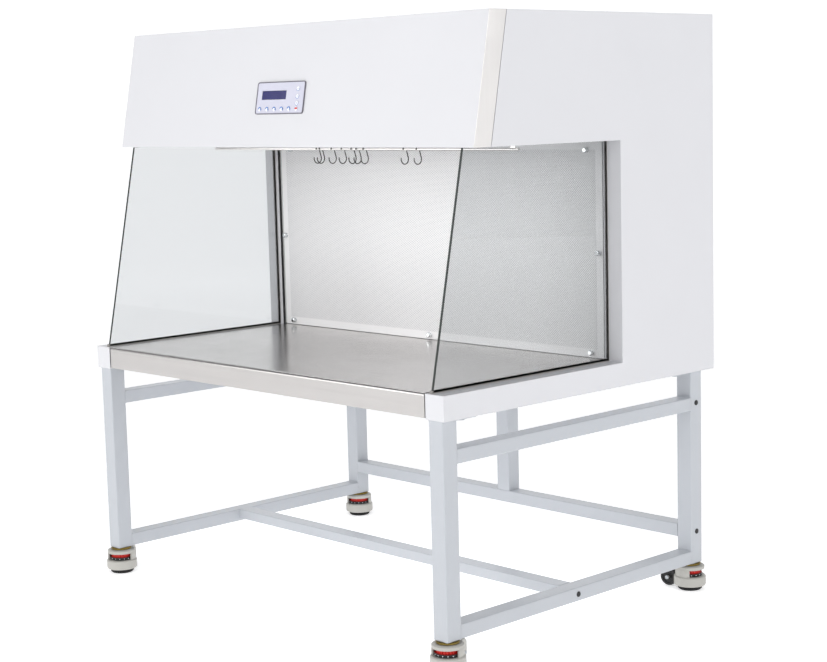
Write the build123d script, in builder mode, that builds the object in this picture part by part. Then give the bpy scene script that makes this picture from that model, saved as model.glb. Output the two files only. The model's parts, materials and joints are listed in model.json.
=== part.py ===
"""Horizontal laminar flow clean bench on a welded stand with levelling casters.

Frame: millimetres, +X to the operator's right, +Y to the back, +Z up. The origin lies on the
floor, midway between the two sides and midway between the front feet and the rear panel.
"""

from math import asin, cos, degrees, hypot, pi, radians, sin
import os

from build123d import *

os.makedirs("parts", exist_ok=True)

# ---------------------------------------------------------------- driving dimensions, mm
bench_width = 1500
bench_depth = 1090  # front of the worktop to the rear panel
bench_height = 1640
work_height = 705  # top of the side rails, level with the worktop
hood_bottom = 1303  # underside of the hood over the work zone
side_wall = 65  # thickness of each double-skinned side
rail_height = 65  # height of the side rail beside the worktop
sheet = 1.5  # cabinet sheet steel
fascia_foot = 124  # set-back of the fascia's lower edge
fascia_head = 189  # set-back of the fascia's upper edge
trim_width = 60  # stainless strip on the side of the hood
window_back = 682  # rear edge of the side windows
seam = 2  # open joint between outer panels

leg_tube = 50
rail_tube = 38  # height of the 50 mm wide side and rear rails
stretcher_tube = 30
tube_wall = 2
tube_corner = 3
leg_inset = 10  # stand set in from the cabinet's sides
leg_front = 4  # stand set back from the cabinet's front
leg_span = 1040  # front face of the front legs to back face of the rear legs
leg_bottom = 80  # top of the casters
leg_plate = 4  # welded plate on top of each leg
leg_plate_reach = 70  # how far the plate runs past its leg
upper_rail_bottom = 527
rear_rail_bottom = 154
stretcher_set_back = 500

foot_overhang = 17  # how far a caster stands out in front of the bench
front = -(bench_depth - foot_overhang) / 2
back = front + bench_depth
half_width = bench_width / 2
inner_half = half_width - side_wall  # inner face of each side
rail_bottom = work_height - rail_height
leg_top = rail_bottom - leg_plate
leg_x = half_width - leg_inset - leg_tube / 2
front_leg_y = front + leg_front + leg_tube / 2
rear_leg_y = front + leg_front + leg_span - leg_tube / 2
stand_inner_half = leg_x - leg_tube / 2
stretcher_y = front + stretcher_set_back
plug_radius = 7.5
plug_hole_radius = 6
bolt_radius = 5
bolt_hole_radius = 5.5
bolt_reach = 40  # mounting bolt past the leg's face
bolt_rows = (front_leg_y + leg_tube / 2 + bolt_reach, rear_leg_y - leg_tube / 2 - bolt_reach)

panel_half = inner_half - 1  # half length of the panels between the sides
rear_setback = 4.5  # rear panel's inner face in front of the back edge
trim_sheet = 1.2

glass_thickness = 5
glass_x = 700
glass_bottom = work_height + 2
glass_foot = 10  # set-back of the glass's front edge at the rail
glass_head = 133  # and under the hood
plate_front = 690
diffuser_half = 675
diffuser_bottom = 708
diffuser_top = 1301
knob_radius = 8
knob_stud_radius = 3
knob_places = [(-632, 722), (0, 722), (632, 722), (-662, 998), (662, 998), (-622, 1277), (622, 1277)]

hook_rail_length = 1280
hook_rail_radius = 4
hook_rail_z = 1289
hook_y = front + 400
middle_hanger_x = 125  # between two hooks
hook_wire = 1.5
hook_bottom = 1246
hook_places = (-156, -142, -90, -46, -4, 18, 48, 213, 265)

filter_front = 702
filter_half = 670
filter_height = 590
filter_depth = 90
filter_rim = 14
filter_z = 1006
gasket = 3.5
deck_z = 1306
fan_y = front + 890
fan_z = 1462
fan_radius = 95
fan_width = 250
outlet_shift = 66
outlet_depth = 110
shaft_radius = 6
motor_x = -270
motor_radius = 45
motor_length = 100
intake_width = 700
intake_depth = 300
intake_y = front + 480

lamp_y = front + 280
lamp_length = 1260
lamp_mouth = 120
tube_z = 1334
tube_spacing = 50
tube_radius = 13
lamp_tube_length = 1200
uv_tube_length = 900

panel_width = 200
panel_height = 85
panel_thickness = 2.5
panel_lap = 10  # overlay past the fascia's cut-out
panel_x = -13
panel_up = 137.5  # panel centre above the fascia's lower edge, along the slope
display_width = 105
display_height = 25
display_place = (-27.5, 8)
key_column = [(74, 24.3), (74, 3.1), (74, -15.8)]
key_row = [(-83.4 + 31.4 * i, -31.4) for i in range(6)]
key_places = key_column + key_row
inlet_x = 560
inlet_z = 1560
inlet_width = 28
inlet_height = 24

slope_run = fascia_head - fascia_foot
slope_rise = bench_height - hood_bottom
slope = hypot(slope_run, slope_rise)
lean = asin(slope_run / slope)
panel_plane = Plane(
    origin=(panel_x, front + fascia_foot + panel_up * sin(lean), hood_bottom + panel_up * cos(lean)),
    x_dir=(1, 0, 0),
    z_dir=(0, -cos(lean), sin(lean)),
)

nodes = []


def save(shape, name):
    """Label one finished sub-part and write it as STEP."""
    shape.label = name
    nodes.append(name)
    export_step(shape, f"parts/{name}.step")


def group(solids):
    """Hold separate like solids as one sub-part."""
    return Compound(children=[solid for part in solids for solid in part.solids()])


# ---------------------------------------------------------------- stand
def tube(plane, width, height, length):
    """A rectangular tube that runs from the plane along its normal."""
    with BuildPart() as bar:
        with BuildSketch(plane):
            RectangleRounded(width, height, tube_corner)
            RectangleRounded(width - 2 * tube_wall, height - 2 * tube_wall, tube_corner - tube_wall,
                             mode=Mode.SUBTRACT)
        extrude(amount=length)
    return bar.part


def leg(x, y, inward, plug_heights):
    """A leg with its welded top plate, caster nut plate and plug holes."""
    insert_height = 8
    side = 1 if x > 0 else -1
    with BuildPart() as leg_part:
        add(tube(Plane((x, y, leg_bottom)), leg_tube, leg_tube, leg_top - leg_bottom))
        with BuildSketch(Plane((x, y, leg_bottom))):
            Rectangle(leg_tube - 2 * tube_wall, leg_tube - 2 * tube_wall)
            Circle(stem_radius + 0.1, mode=Mode.SUBTRACT)
        extrude(amount=insert_height)
        with BuildSketch(Plane((x, y + inward * leg_plate_reach / 2, leg_top))):
            Rectangle(leg_tube, leg_tube + leg_plate_reach)
            with Locations((0, inward * (bolt_reach + leg_tube / 2 - leg_plate_reach / 2))):
                Circle(bolt_hole_radius, mode=Mode.SUBTRACT)
        extrude(amount=leg_plate)
        for height in plug_heights:
            outer = Plane(origin=(x + side * leg_tube / 2, y, height), x_dir=(0, 1, 0), z_dir=(side, 0, 0))
            with BuildSketch(outer):
                Circle(plug_hole_radius)
            extrude(amount=-leg_tube / 4, mode=Mode.SUBTRACT)
    return leg_part.part


def side_rails(side):
    """The upper and lower rail between the two legs of one side, as two separate tubes."""
    start = front_leg_y + leg_tube / 2
    length = rear_leg_y - front_leg_y - leg_tube
    rails = []
    for bottom, holes in ((upper_rail_bottom, []), (leg_bottom, [stretcher_y])):
        middle = bottom + rail_tube / 2
        with BuildPart() as rail:
            add(tube(Plane(origin=(side * leg_x, start, middle), x_dir=(-1, 0, 0), z_dir=(0, 1, 0)),
                     leg_tube, rail_tube, length))
            for y in holes:
                outer = Plane(origin=(side * (leg_x + leg_tube / 2), y, middle), x_dir=(0, 1, 0),
                              z_dir=(side, 0, 0))
                with BuildSketch(outer):
                    Circle(plug_hole_radius)
                extrude(amount=-leg_tube / 4, mode=Mode.SUBTRACT)
        rails.append(rail.part)
    return group(rails)


def plug(x, y, z):
    """A plastic plug that closes a bolt access hole."""
    side = 1 if x > 0 else -1
    head = 1.6
    spigot = 6
    face = Plane(origin=(x, y, z), x_dir=(0, 1, 0), z_dir=(side, 0, 0))
    with BuildPart() as cap:
        with BuildSketch(face):
            Circle(plug_radius)
        extrude(amount=head)
        chamfer(cap.faces().sort_by(Axis.X)[-1 if side > 0 else 0].edges(), 0.6)
        with BuildSketch(face):
            Circle(plug_hole_radius)
        extrude(amount=-spigot)
    return cap.part


def mounting_bolt(x, y):
    """A hexagon bolt from under a leg's plate, with its nut inside the cabinet's floor."""
    head_height = 6.4
    across_flats = 17
    nut_height = 8
    with BuildPart() as bolt:
        with BuildSketch(Plane((x, y, leg_top - head_height))):
            RegularPolygon(across_flats / 2, 6, major_radius=False)
        extrude(amount=head_height)
        with BuildSketch(Plane((x, y, leg_top))):
            Circle(bolt_radius)
        extrude(amount=leg_plate + sheet + nut_height + 4)
    with BuildPart() as nut:
        with BuildSketch(Plane((x, y, rail_bottom + sheet))):
            RegularPolygon(across_flats / 2, 6, major_radius=False)
            Circle(bolt_radius, mode=Mode.SUBTRACT)
        extrude(amount=nut_height)
    return [bolt.part, nut.part]


# ---------------------------------------------------------------- levelling casters
ring_radius = 31  # zinc plated swivel plate
ring_bottom = 73
stem_radius = 6
stem_top = 108
swivel_hub_radius = 13
swivel_flange_radius = 18
disc_radius = 42
disc_bottom = 61
disc_top = 72.6
body_radius = 46
body_bottom = 13
body_top = 41
body_wall = 5
web_thickness = 5
column_wall = 5
window_angle = 65  # half of the opening in front of the dial
dial_bottom = 41.4
dial_band_top = 50
dial_top = 58.6
dial_band_radius = 35
dial_teeth = 24
dial_radius = 30
pad_radius = 35
pad_height = 10
screw_top = 50
wheel_radius = 26
wheel_width = 22
wheel_offset = 64  # axle behind the swivel axis
axle_height = 28  # wheels hang 2 mm clear while the bench stands on its pads
axle_radius = 4
lug_radius = 10.5
cheek_gap = 26
cheek_thickness = 6
cheek_top = 66
running_gap = 0.05

casters = {  # name: x, y, heading of the fork in degrees from +X
    "front_left": (-leg_x, front_leg_y, 125),
    "front_right": (leg_x, front_leg_y, 111),
    "rear_left": (-leg_x, rear_leg_y, 130),
    "rear_right": (leg_x, rear_leg_y, 191),
}


def placed(part, name):
    """Set a caster piece, built about the origin with its fork along +Y, under its own leg."""
    x, y, heading = casters[name]
    return part.rotate(Axis.Z, heading - 90).moved(Location((x, y, 0)))


def caster_stem():
    """Swivel plate, threaded stem and retaining flange that stay fixed to the leg."""
    with BuildPart() as stem:
        with BuildSketch(Plane.XZ) as half:
            with BuildLine():
                Polyline((0, disc_bottom + 0.4), (swivel_flange_radius, disc_bottom + 0.4),
                         (swivel_flange_radius, disc_bottom + 2.6), (swivel_hub_radius, disc_bottom + 2.6),
                         (swivel_hub_radius, ring_bottom), (ring_radius - 1, ring_bottom),
                         (ring_radius, ring_bottom + 1), (ring_radius, leg_bottom - 2),
                         (ring_radius - 2, leg_bottom), (stem_radius, leg_bottom),
                         (stem_radius, stem_top - 1), (stem_radius - 1, stem_top), (0, stem_top), close=True)
            make_face()
        revolve(axis=Axis.Z)
    return stem.part


def caster_housing():
    """Die-cast housing: skirt, dial web, column, top disc and the wheel fork."""
    cheek_inner = cheek_gap / 2
    fork_end = wheel_offset + lug_radius
    with BuildPart() as housing:
        with BuildSketch(Plane.XZ):
            with BuildLine():
                Polyline((body_radius - body_wall, body_bottom), (body_radius - 2, body_bottom),
                         (body_radius, body_bottom + 3), (body_radius, body_top - 3),
                         (body_radius - 3, body_top), (stem_radius + running_gap, body_top),
                         (stem_radius + running_gap, body_top - web_thickness),
                         (body_radius - body_wall, body_top - web_thickness), close=True)
            make_face()
        revolve(axis=Axis.Z)
        with BuildSketch(Plane.XY.offset(body_top)):
            Circle(disc_radius)
            Circle(disc_radius - column_wall, mode=Mode.SUBTRACT)
        extrude(amount=disc_bottom - body_top)
        with BuildSketch(Plane.XY.offset(body_top)):
            with BuildLine():
                reach = 2 * disc_radius
                left = (-reach * sin(radians(window_angle)), -reach * cos(radians(window_angle)))
                Polyline((0, 0), left, (-reach, -reach), (reach, -reach), (-left[0], left[1]), close=True)
            make_face()
        extrude(amount=disc_bottom - body_top, mode=Mode.SUBTRACT)
        with BuildSketch(Plane.XZ):
            with BuildLine():
                Polyline((swivel_hub_radius + running_gap, disc_top), (disc_radius - 5, disc_top),
                         (disc_radius, disc_top - 3), (disc_radius, disc_bottom + 1),
                         (disc_radius - 1, disc_bottom), (swivel_flange_radius + 0.5, disc_bottom),
                         (swivel_flange_radius + 0.5, disc_bottom + 3),
                         (swivel_hub_radius + running_gap, disc_bottom + 3), close=True)
            make_face()
        revolve(axis=Axis.Z)
        with BuildSketch(Plane.YZ.offset(cheek_inner)) as cheek:
            with BuildLine():
                Polyline((disc_radius - column_wall, cheek_top), (fork_end - 9, cheek_top),
                         (fork_end, cheek_top - 9), (fork_end, axle_height), (fork_end - 3, axle_height - 7.5),
                         (wheel_offset, axle_height - lug_radius), (wheel_offset - 6, axle_height - 9),
                         (body_radius - 2, body_bottom + 1), (disc_radius - column_wall, body_bottom + 1),
                         close=True)
            make_face()
        extrude(amount=cheek_thickness)
        extrude(cheek.sketch.mirror(Plane.YZ), amount=-cheek_thickness)
        with BuildSketch(Plane.XY.offset(body_bottom)):
            with Locations((0, wheel_offset)):
                Rectangle(cheek_gap, 2 * (wheel_radius + 1.5))
        extrude(amount=disc_bottom - body_bottom - 1, mode=Mode.SUBTRACT)
        with BuildSketch(Plane.YZ.offset(-cheek_inner - cheek_thickness)):
            with Locations((wheel_offset, axle_height)):
                Circle(axle_radius)
        extrude(amount=2 * (cheek_inner + cheek_thickness))
    return housing.part


def caster_wheel():
    """Nylon wheel with a rounded tread and a stepped hub, bored for the axle."""
    half = wheel_width / 2
    with BuildPart() as wheel:
        with BuildSketch(Plane.XY):
            with BuildLine():
                Polyline((axle_radius + running_gap, -half - 1), (9, -half - 1), (9, -half + 3), (18, -half + 3),
                         (19, -half), (wheel_radius - 2, -half), (wheel_radius, -half + 2),
                         (wheel_radius, half - 2), (wheel_radius - 2, half), (19, half), (18, half - 3),
                         (9, half - 3), (9, half + 1), (axle_radius + running_gap, half + 1), close=True)
            make_face()
        revolve(axis=Axis.Y)
    upright = wheel.part.rotate(Axis.Z, 90)
    return upright.moved(Location((0, wheel_offset, axle_height)))


def caster_dial():
    """Adjusting dial: a plain band below, thumb teeth above and a bore on the pad's screw."""
    with BuildPart() as dial:
        with BuildSketch(Plane.XY.offset(dial_bottom)):
            Circle(dial_band_radius)
        extrude(amount=dial_band_top - dial_bottom)
        with BuildSketch(Plane.XY.offset(dial_band_top)):
            Circle(dial_radius)
            with PolarLocations(dial_radius, dial_teeth):
                Circle(2.2, mode=Mode.SUBTRACT)
        extrude(amount=dial_top - dial_band_top)
        with BuildSketch(Plane.XY.offset(dial_bottom)):
            Circle(stem_radius + running_gap)
        extrude(amount=dial_top - dial_bottom, mode=Mode.SUBTRACT)
    return dial.part


def caster_pad():
    """Levelling pad: a ribbed foot with the screw that the dial drives."""
    with BuildPart() as pad:
        with BuildSketch(Plane.XZ):
            with BuildLine():
                Polyline((0, 0), (pad_radius - 4, 0), (pad_radius, 4), (pad_radius, pad_height - 2),
                         (pad_radius - 2, pad_height), (16, pad_height), (14, pad_height + 6),
                         (stem_radius, pad_height + 6), (stem_radius, screw_top - 1),
                         (stem_radius - 1, screw_top), (0, screw_top), close=True)
            make_face()
        revolve(axis=Axis.Z)
    return pad.part


# ---------------------------------------------------------------- cabinet shell
def fascia_shift(height):
    """How far the fascia's face lies behind its lower edge at a height."""
    return (height - hood_bottom) * slope_run / slope_rise


def side_panel():
    """The right side: one C-shaped pan around the side window, open towards the inside."""
    hood_front = front + fascia_foot + trim_width + seam
    outline = [
        (front, rail_bottom), (back, rail_bottom), (back, bench_height),
        (hood_front + fascia_shift(bench_height), bench_height), (hood_front, hood_bottom),
        (front + window_back, hood_bottom), (front + window_back, work_height), (front, work_height),
    ]
    with BuildPart() as panel:
        with BuildSketch(Plane.YZ.offset(inner_half)):
            Polygon(*outline, align=None)
        extrude(amount=side_wall)
        with BuildSketch(Plane.YZ.offset(inner_half)):
            Polygon(*outline, align=None)
            offset(amount=-sheet, kind=Kind.INTERSECTION, mode=Mode.REPLACE)
        extrude(amount=side_wall - sheet, mode=Mode.SUBTRACT)
        with BuildSketch(Plane.XY.offset(rail_bottom)):
            for y in bolt_rows:
                with Locations((leg_x, y)):
                    Circle(bolt_hole_radius)
        extrude(amount=sheet, mode=Mode.SUBTRACT)
    return panel.part



def fascia_outline(inset, rear):
    """Side view of the hood's front: a band that leans back, seen along X."""
    top = bench_height - inset
    bottom = hood_bottom + inset
    face = inset / cos(lean)
    return [
        (front + fascia_foot + fascia_shift(bottom) + face, bottom),
        (front + fascia_foot + fascia_shift(top) + face, top),
        (front + fascia_foot + fascia_shift(top) + rear, top),
        (front + fascia_foot + fascia_shift(bottom) + rear, bottom),
    ]


def fascia():
    """Sloping front of the hood, a folded pan with a cut-out behind the control panel."""
    half = half_width - trim_sheet
    with BuildPart() as cover:
        with BuildSketch(Plane.YZ.offset(-half)):
            Polygon(*fascia_outline(0, trim_width), align=None)
        extrude(amount=2 * half)
        front_edges = cover.faces().sort_by(Axis.Y)[0].edges().filter_by(Axis.X)
        fillet(front_edges, 2)
        with BuildSketch(Plane.YZ.offset(sheet - half)):
            Polygon(*fascia_outline(sheet, trim_width + sheet), align=None)
        extrude(amount=2 * (half - sheet), mode=Mode.SUBTRACT)
        with BuildSketch(panel_plane):
            Rectangle(panel_width - 2 * panel_lap, panel_height - 2 * panel_lap)
        extrude(amount=-3 * sheet, mode=Mode.SUBTRACT)
    return cover.part


def trim_strip():
    """The right stainless strip that covers the fascia's end."""
    with BuildPart() as strip:
        with BuildSketch(Plane.YZ.offset(half_width - trim_sheet)):
            Polygon(*fascia_outline(0, trim_width), align=None)
        extrude(amount=trim_sheet)
    return strip.part


def sheet_pan(x_size, y_size, z_low, y_centre, flange, thickness=sheet, upward=True):
    """A flat panel with its four edges folded up or down."""
    with BuildPart() as pan:
        with BuildSketch(Plane((0, y_centre, z_low))):
            Rectangle(x_size, y_size)
        extrude(amount=flange)
        pocket = z_low + thickness if upward else z_low
        with BuildSketch(Plane((0, y_centre, pocket))):
            Rectangle(x_size - 2 * thickness, y_size - 2 * thickness)
        extrude(amount=flange - thickness, mode=Mode.SUBTRACT)
    return pan.part


def base_pan():
    """Cabinet floor between the sides, with a folded rim."""
    start = front + 60
    depth = back - rear_setback - sheet - start
    return sheet_pan(2 * panel_half, depth, rail_bottom, start + depth / 2, 20)


def worktop():
    """Stainless tray with a rounded front edge, folded apron and stiffeners underneath."""
    apron = 64
    side_apron = 42
    depth = window_back + 6
    half = inner_half - 4
    edge_radius = 9
    steel = 1.5
    rib_width = 50
    rib_height = 25
    top = work_height + 2
    with BuildPart() as tray:
        with BuildSketch(Plane((0, front + depth / 2, top - apron))):
            Rectangle(2 * half, depth)
        extrude(amount=apron)
        nose = tray.edges().filter_by(Axis.X).group_by(Axis.Z)[-1].sort_by(Axis.Y)[0]
        fillet(nose, edge_radius)
        upright = tray.edges().filter_by(Axis.Z).group_by(Axis.Y)[0]
        fillet(upright, 2)
        offset(amount=-steel, openings=tray.faces().sort_by(Axis.Z)[0])
        with BuildSketch(Plane((0, front + depth / 2 + 24, top - apron))):
            Rectangle(2 * half, depth)
        extrude(amount=apron - side_apron, mode=Mode.SUBTRACT)
        with BuildSketch(Plane((0, front + 12, top - apron))):
            Rectangle(2 * half - 8, 22)
        extrude(amount=steel)
        for x in (-half * 0.6, 0, half * 0.6):
            with BuildSketch(Plane((x, front + depth / 2, top - steel - rib_height))):
                Rectangle(rib_width, depth - 40)
            extrude(amount=rib_height)
            with BuildSketch(Plane((x, front + depth / 2, top - steel - rib_height + steel))):
                Rectangle(rib_width - 2 * steel, depth - 40)
            extrude(amount=rib_height - steel, mode=Mode.SUBTRACT)
    return tray.part


def hood_ceiling():
    """Underside of the hood between the sides, open where the lamps shine through."""
    start = front + fascia_foot + trim_width + 1
    depth = front + plate_front - 1 - start
    with BuildPart() as ceiling:
        add(sheet_pan(2 * panel_half, depth, hood_bottom, start + depth / 2, 15))
        with BuildSketch(Plane((0, lamp_y, hood_bottom))):
            Rectangle(lamp_length, lamp_mouth)
        extrude(amount=sheet, mode=Mode.SUBTRACT)
    return ceiling.part


def rear_panel():
    """Removable back of the cabinet with folded edges and the inlet's cut-out."""
    height = bench_height - rail_bottom - 6
    with BuildPart() as panel:
        with BuildSketch(Plane(origin=(0, back - rear_setback, rail_bottom + 3 + height / 2),
                               x_dir=(1, 0, 0), z_dir=(0, -1, 0))):
            Rectangle(2 * panel_half, height)
        extrude(amount=-sheet)
        inlet = Plane(origin=(inlet_x, back - rear_setback, inlet_z), x_dir=(1, 0, 0), z_dir=(0, -1, 0))
        with BuildSketch(inlet):
            Rectangle(inlet_width, inlet_height)
        extrude(amount=-sheet, mode=Mode.SUBTRACT)
    return panel.part


def top_panel():
    """Roof of the hood, folded down at its edges, with the air intake."""
    start = front + fascia_head + trim_width + seam
    depth = back - rear_setback - 3 - start
    top = bench_height - sheet
    with BuildPart() as panel:
        add(sheet_pan(2 * panel_half, depth, top - 20, start + depth / 2, 20, upward=False))
        with BuildSketch(Plane((0, intake_y, top - sheet))):
            Rectangle(intake_width, intake_depth)
        extrude(amount=sheet, mode=Mode.SUBTRACT)
    return panel.part


def intake_grille():
    """Slotted cover plate over the air intake."""
    slots_across = 4
    slots_deep = 10
    with BuildPart() as grille:
        with BuildSketch(Plane((0, intake_y, bench_height - sheet))):
            RectangleRounded(intake_width + 40, intake_depth + 40, 6)
            with GridLocations(intake_width / slots_across, intake_depth / slots_deep, slots_across, slots_deep):
                SlotOverall(intake_width / slots_across - 20, 10, mode=Mode.SUBTRACT)
        extrude(amount=sheet)
    return grille.part


# ---------------------------------------------------------------- glass, diffuser, hooks
def side_glass():
    """The right glass pane: its front edge follows the lean of the hood."""
    with BuildPart() as pane:
        with BuildSketch(Plane.YZ.offset(glass_x - glass_thickness / 2)):
            Polygon((front + glass_foot, glass_bottom), (front + glass_head, hood_bottom - 0.5),
                    (front + window_back - 2, hood_bottom - 0.5), (front + window_back - 2, glass_bottom),
                    align=None)
        extrude(amount=glass_thickness)
        chamfer(pane.edges().group_by(Axis.Y)[0], 0.6)
    return pane.part


def glass_seal():
    """The right U-shaped seal on the side rail and up the rear of the window."""
    lip = 1.5
    height = 8
    outer = glass_thickness + 2 * lip
    corner = front + window_back
    with BuildPart() as seal:
        with BuildSketch(Plane.YZ.offset(glass_x - outer / 2)):
            Polygon((front + glass_foot - 6, work_height), (corner, work_height), (corner, hood_bottom),
                    (corner - height, hood_bottom), (corner - height, work_height + height),
                    (front + glass_foot - 4, work_height + height), align=None)
        extrude(amount=outer)
        with BuildSketch(Plane.YZ.offset(glass_x - glass_thickness / 2)):
            Polygon((front + glass_foot - 2, glass_bottom), (corner - 2, glass_bottom),
                    (corner - 2, hood_bottom), (corner - height - 2, hood_bottom),
                    (corner - height - 2, work_height + height + 1),
                    (front + glass_foot - 2, work_height + height + 1), align=None)
        extrude(amount=glass_thickness, mode=Mode.SUBTRACT)
    return seal.part


def diffuser_plate():
    """Plain-bordered face of the perforated diffuser, with its edges folded back."""
    flange = 8
    height = diffuser_top - diffuser_bottom
    face = Plane(origin=(0, front + plate_front, (diffuser_top + diffuser_bottom) / 2), x_dir=(1, 0, 0),
                 z_dir=(0, -1, 0))
    with BuildPart() as plate:
        with BuildSketch(face):
            Rectangle(2 * diffuser_half, height)
        extrude(amount=-flange)
        with BuildSketch(face.offset(-sheet)):
            Rectangle(2 * (diffuser_half - sheet), height - 2 * sheet)
        extrude(amount=-flange, mode=Mode.SUBTRACT)
        for x, z in knob_places:
            with BuildSketch(Plane(origin=(x, front + plate_front, z), x_dir=(1, 0, 0), z_dir=(0, -1, 0))):
                Circle(knob_stud_radius + 0.5)
            extrude(amount=-sheet, mode=Mode.SUBTRACT)
    return plate.part


def knob(x, z):
    """Domed chrome thumb nut with a collar and a stud through the diffuser plate."""
    with BuildPart() as nut:
        with BuildSketch(Plane.XZ):
            with BuildLine():
                Polyline((0, -8), (knob_stud_radius, -8), (knob_stud_radius, 0), (knob_radius - 1, 0),
                         (knob_radius - 1, 2), (knob_radius - 2.5, 3), (knob_radius - 2.5, 4.5),
                         (knob_radius, 6), (knob_radius, 13), (0, 13), close=True)
            make_face()
        revolve(axis=Axis.Z)
        fillet(nut.faces().sort_by(Axis.Z)[-1].edges(), 3)
    return nut.part.rotate(Axis.X, 90).moved(Location((x, front + plate_front, z)))


def hook_rail():
    """Round stainless rail under the hood, welded to three small hangers."""
    hanger = 3
    with BuildPart() as rail:
        with BuildSketch(Plane(origin=(-hook_rail_length / 2, hook_y, hook_rail_z), x_dir=(0, 1, 0),
                               z_dir=(1, 0, 0))):
            Circle(hook_rail_radius)
        extrude(amount=hook_rail_length)
        for x in (-hook_rail_length / 2 + 20, middle_hanger_x, hook_rail_length / 2 - 20):
            with BuildSketch(Plane((x, hook_y, hook_rail_z))):
                Rectangle(16, hanger)
            extrude(amount=hood_bottom - hook_rail_z)
            with BuildSketch(Plane((x, hook_y, hood_bottom - 2))):
                Rectangle(40, 24)
            extrude(amount=2)
    return rail.part


def hook(x):
    """An S-hook of round wire that hangs on the rail, its lower bend open to the front."""
    top_bend = hook_rail_radius + hook_wire + 0.2
    low_bend = 14
    low_z = hook_bottom + hook_wire + low_bend
    top_z = hook_rail_z
    rise = degrees(asin((low_bend - top_bend) / (top_z - low_z)))

    def on(centre, bend, angle):
        return (bend * cos(radians(angle)), centre + bend * sin(radians(angle)))

    with BuildPart() as wire:
        with BuildLine(Plane(origin=(x, hook_y, 0), x_dir=(0, 1, 0), z_dir=(1, 0, 0))) as path:
            ThreePointArc(on(low_z, low_bend, 165), on(low_z, low_bend, 270), on(low_z, low_bend, rise))
            Line(on(low_z, low_bend, rise), on(top_z, top_bend, rise))
            ThreePointArc(on(top_z, top_bend, rise), on(top_z, top_bend, 100), on(top_z, top_bend, 195))
        start = path.line @ 0
        with BuildSketch(Plane(origin=start, z_dir=path.line % 0)):
            RegularPolygon(hook_wire, 8)
        sweep(path=path.line)
    return wire.part


# ---------------------------------------------------------------- filter and air path
def hepa_frame():
    """Aluminium frame of the main filter."""
    face = Plane(origin=(0, front + filter_front, filter_z), x_dir=(1, 0, 0), z_dir=(0, -1, 0))
    with BuildPart() as frame:
        with BuildSketch(face):
            Rectangle(2 * filter_half, filter_height)
            Rectangle(2 * (filter_half - filter_rim), filter_height - 2 * filter_rim, mode=Mode.SUBTRACT)
        extrude(amount=-filter_depth)
    return frame.part


def hepa_media():
    """Pleated glass-fibre pack inside the filter's frame."""
    pleats = 32
    depth = filter_depth - 12
    half = filter_half - filter_rim
    pitch = 2 * half / pleats
    low = front + filter_front + 6
    cloth = 3
    tips = [(-half + i * pitch / 2, low + (depth - cloth if i % 2 else 0)) for i in range(2 * pleats + 1)]
    backs = [(x, y + cloth) for x, y in reversed(tips)]
    with BuildPart() as pack:
        with BuildSketch(Plane.XY.offset(filter_z - filter_height / 2 + filter_rim)):
            Polygon(*tips, *backs, align=None)
        extrude(amount=filter_height - 2 * filter_rim)
    return pack.part


def hepa_gasket():
    """Foam gasket between the filter's frame and the diffuser's flange."""
    face = Plane(origin=(0, front + filter_front - gasket, filter_z), x_dir=(1, 0, 0), z_dir=(0, -1, 0))
    with BuildPart() as seal:
        with BuildSketch(face):
            Rectangle(2 * filter_half, filter_height)
            Rectangle(2 * (filter_half - filter_rim), filter_height - 2 * filter_rim, mode=Mode.SUBTRACT)
        extrude(amount=-gasket)
    return seal.part


def plenum_deck():
    """Floor of the fan chamber, open under the blower's outlet."""
    start = front + plate_front
    depth = back - rear_setback - 3 - start
    with BuildPart() as deck:
        add(sheet_pan(2 * panel_half, depth, deck_z, start + depth / 2, 15))
        with BuildSketch(Plane((0, fan_y + outlet_shift, deck_z))):
            Rectangle(fan_width - 2 * sheet, outlet_depth - 2 * sheet)
        extrude(amount=sheet, mode=Mode.SUBTRACT)
    return deck.part


def scroll_face(inset):
    """Spiral outline of the fan housing, from its cut-off round to the outlet."""
    turns = [(-40 + 45 * i) for i in range(8)]
    points = []
    for i, angle in enumerate(turns):
        radius = fan_radius + 10 + 6 * i - inset
        points.append((radius * cos(radians(angle)), radius * sin(radians(angle))))
    with BuildSketch(Plane(origin=(0, 0, 0), x_dir=(0, 1, 0), z_dir=(1, 0, 0))) as face:
        with BuildLine():
            Spline(*points)
            Line(points[-1], points[0])
        make_face()
    return face.sketch


def blower_housing():
    """Scroll of the double-inlet centrifugal fan, with its outlet on the deck."""
    centre = Location((-fan_width / 2, fan_y, fan_z))
    drop = fan_z - deck_z - sheet
    with BuildPart() as scroll:
        extrude(scroll_face(0).moved(centre), amount=fan_width, dir=(1, 0, 0))
        with BuildSketch(Plane((0, fan_y + outlet_shift, deck_z + sheet))):
            Rectangle(fan_width, outlet_depth)
        extrude(amount=drop)
        inner = Location((sheet - fan_width / 2, fan_y, fan_z))
        extrude(scroll_face(sheet).moved(inner), amount=fan_width - 2 * sheet, dir=(1, 0, 0),
                mode=Mode.SUBTRACT)
        with BuildSketch(Plane((0, fan_y + outlet_shift, deck_z + sheet))):
            Rectangle(fan_width - 2 * sheet, outlet_depth - 2 * sheet)
        extrude(amount=drop, mode=Mode.SUBTRACT)
        with BuildSketch(Plane(origin=(-fan_width / 2, fan_y, fan_z), x_dir=(0, 1, 0), z_dir=(1, 0, 0))):
            Circle(fan_radius - 12)
        extrude(amount=fan_width, mode=Mode.SUBTRACT)
    return scroll.part


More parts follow.
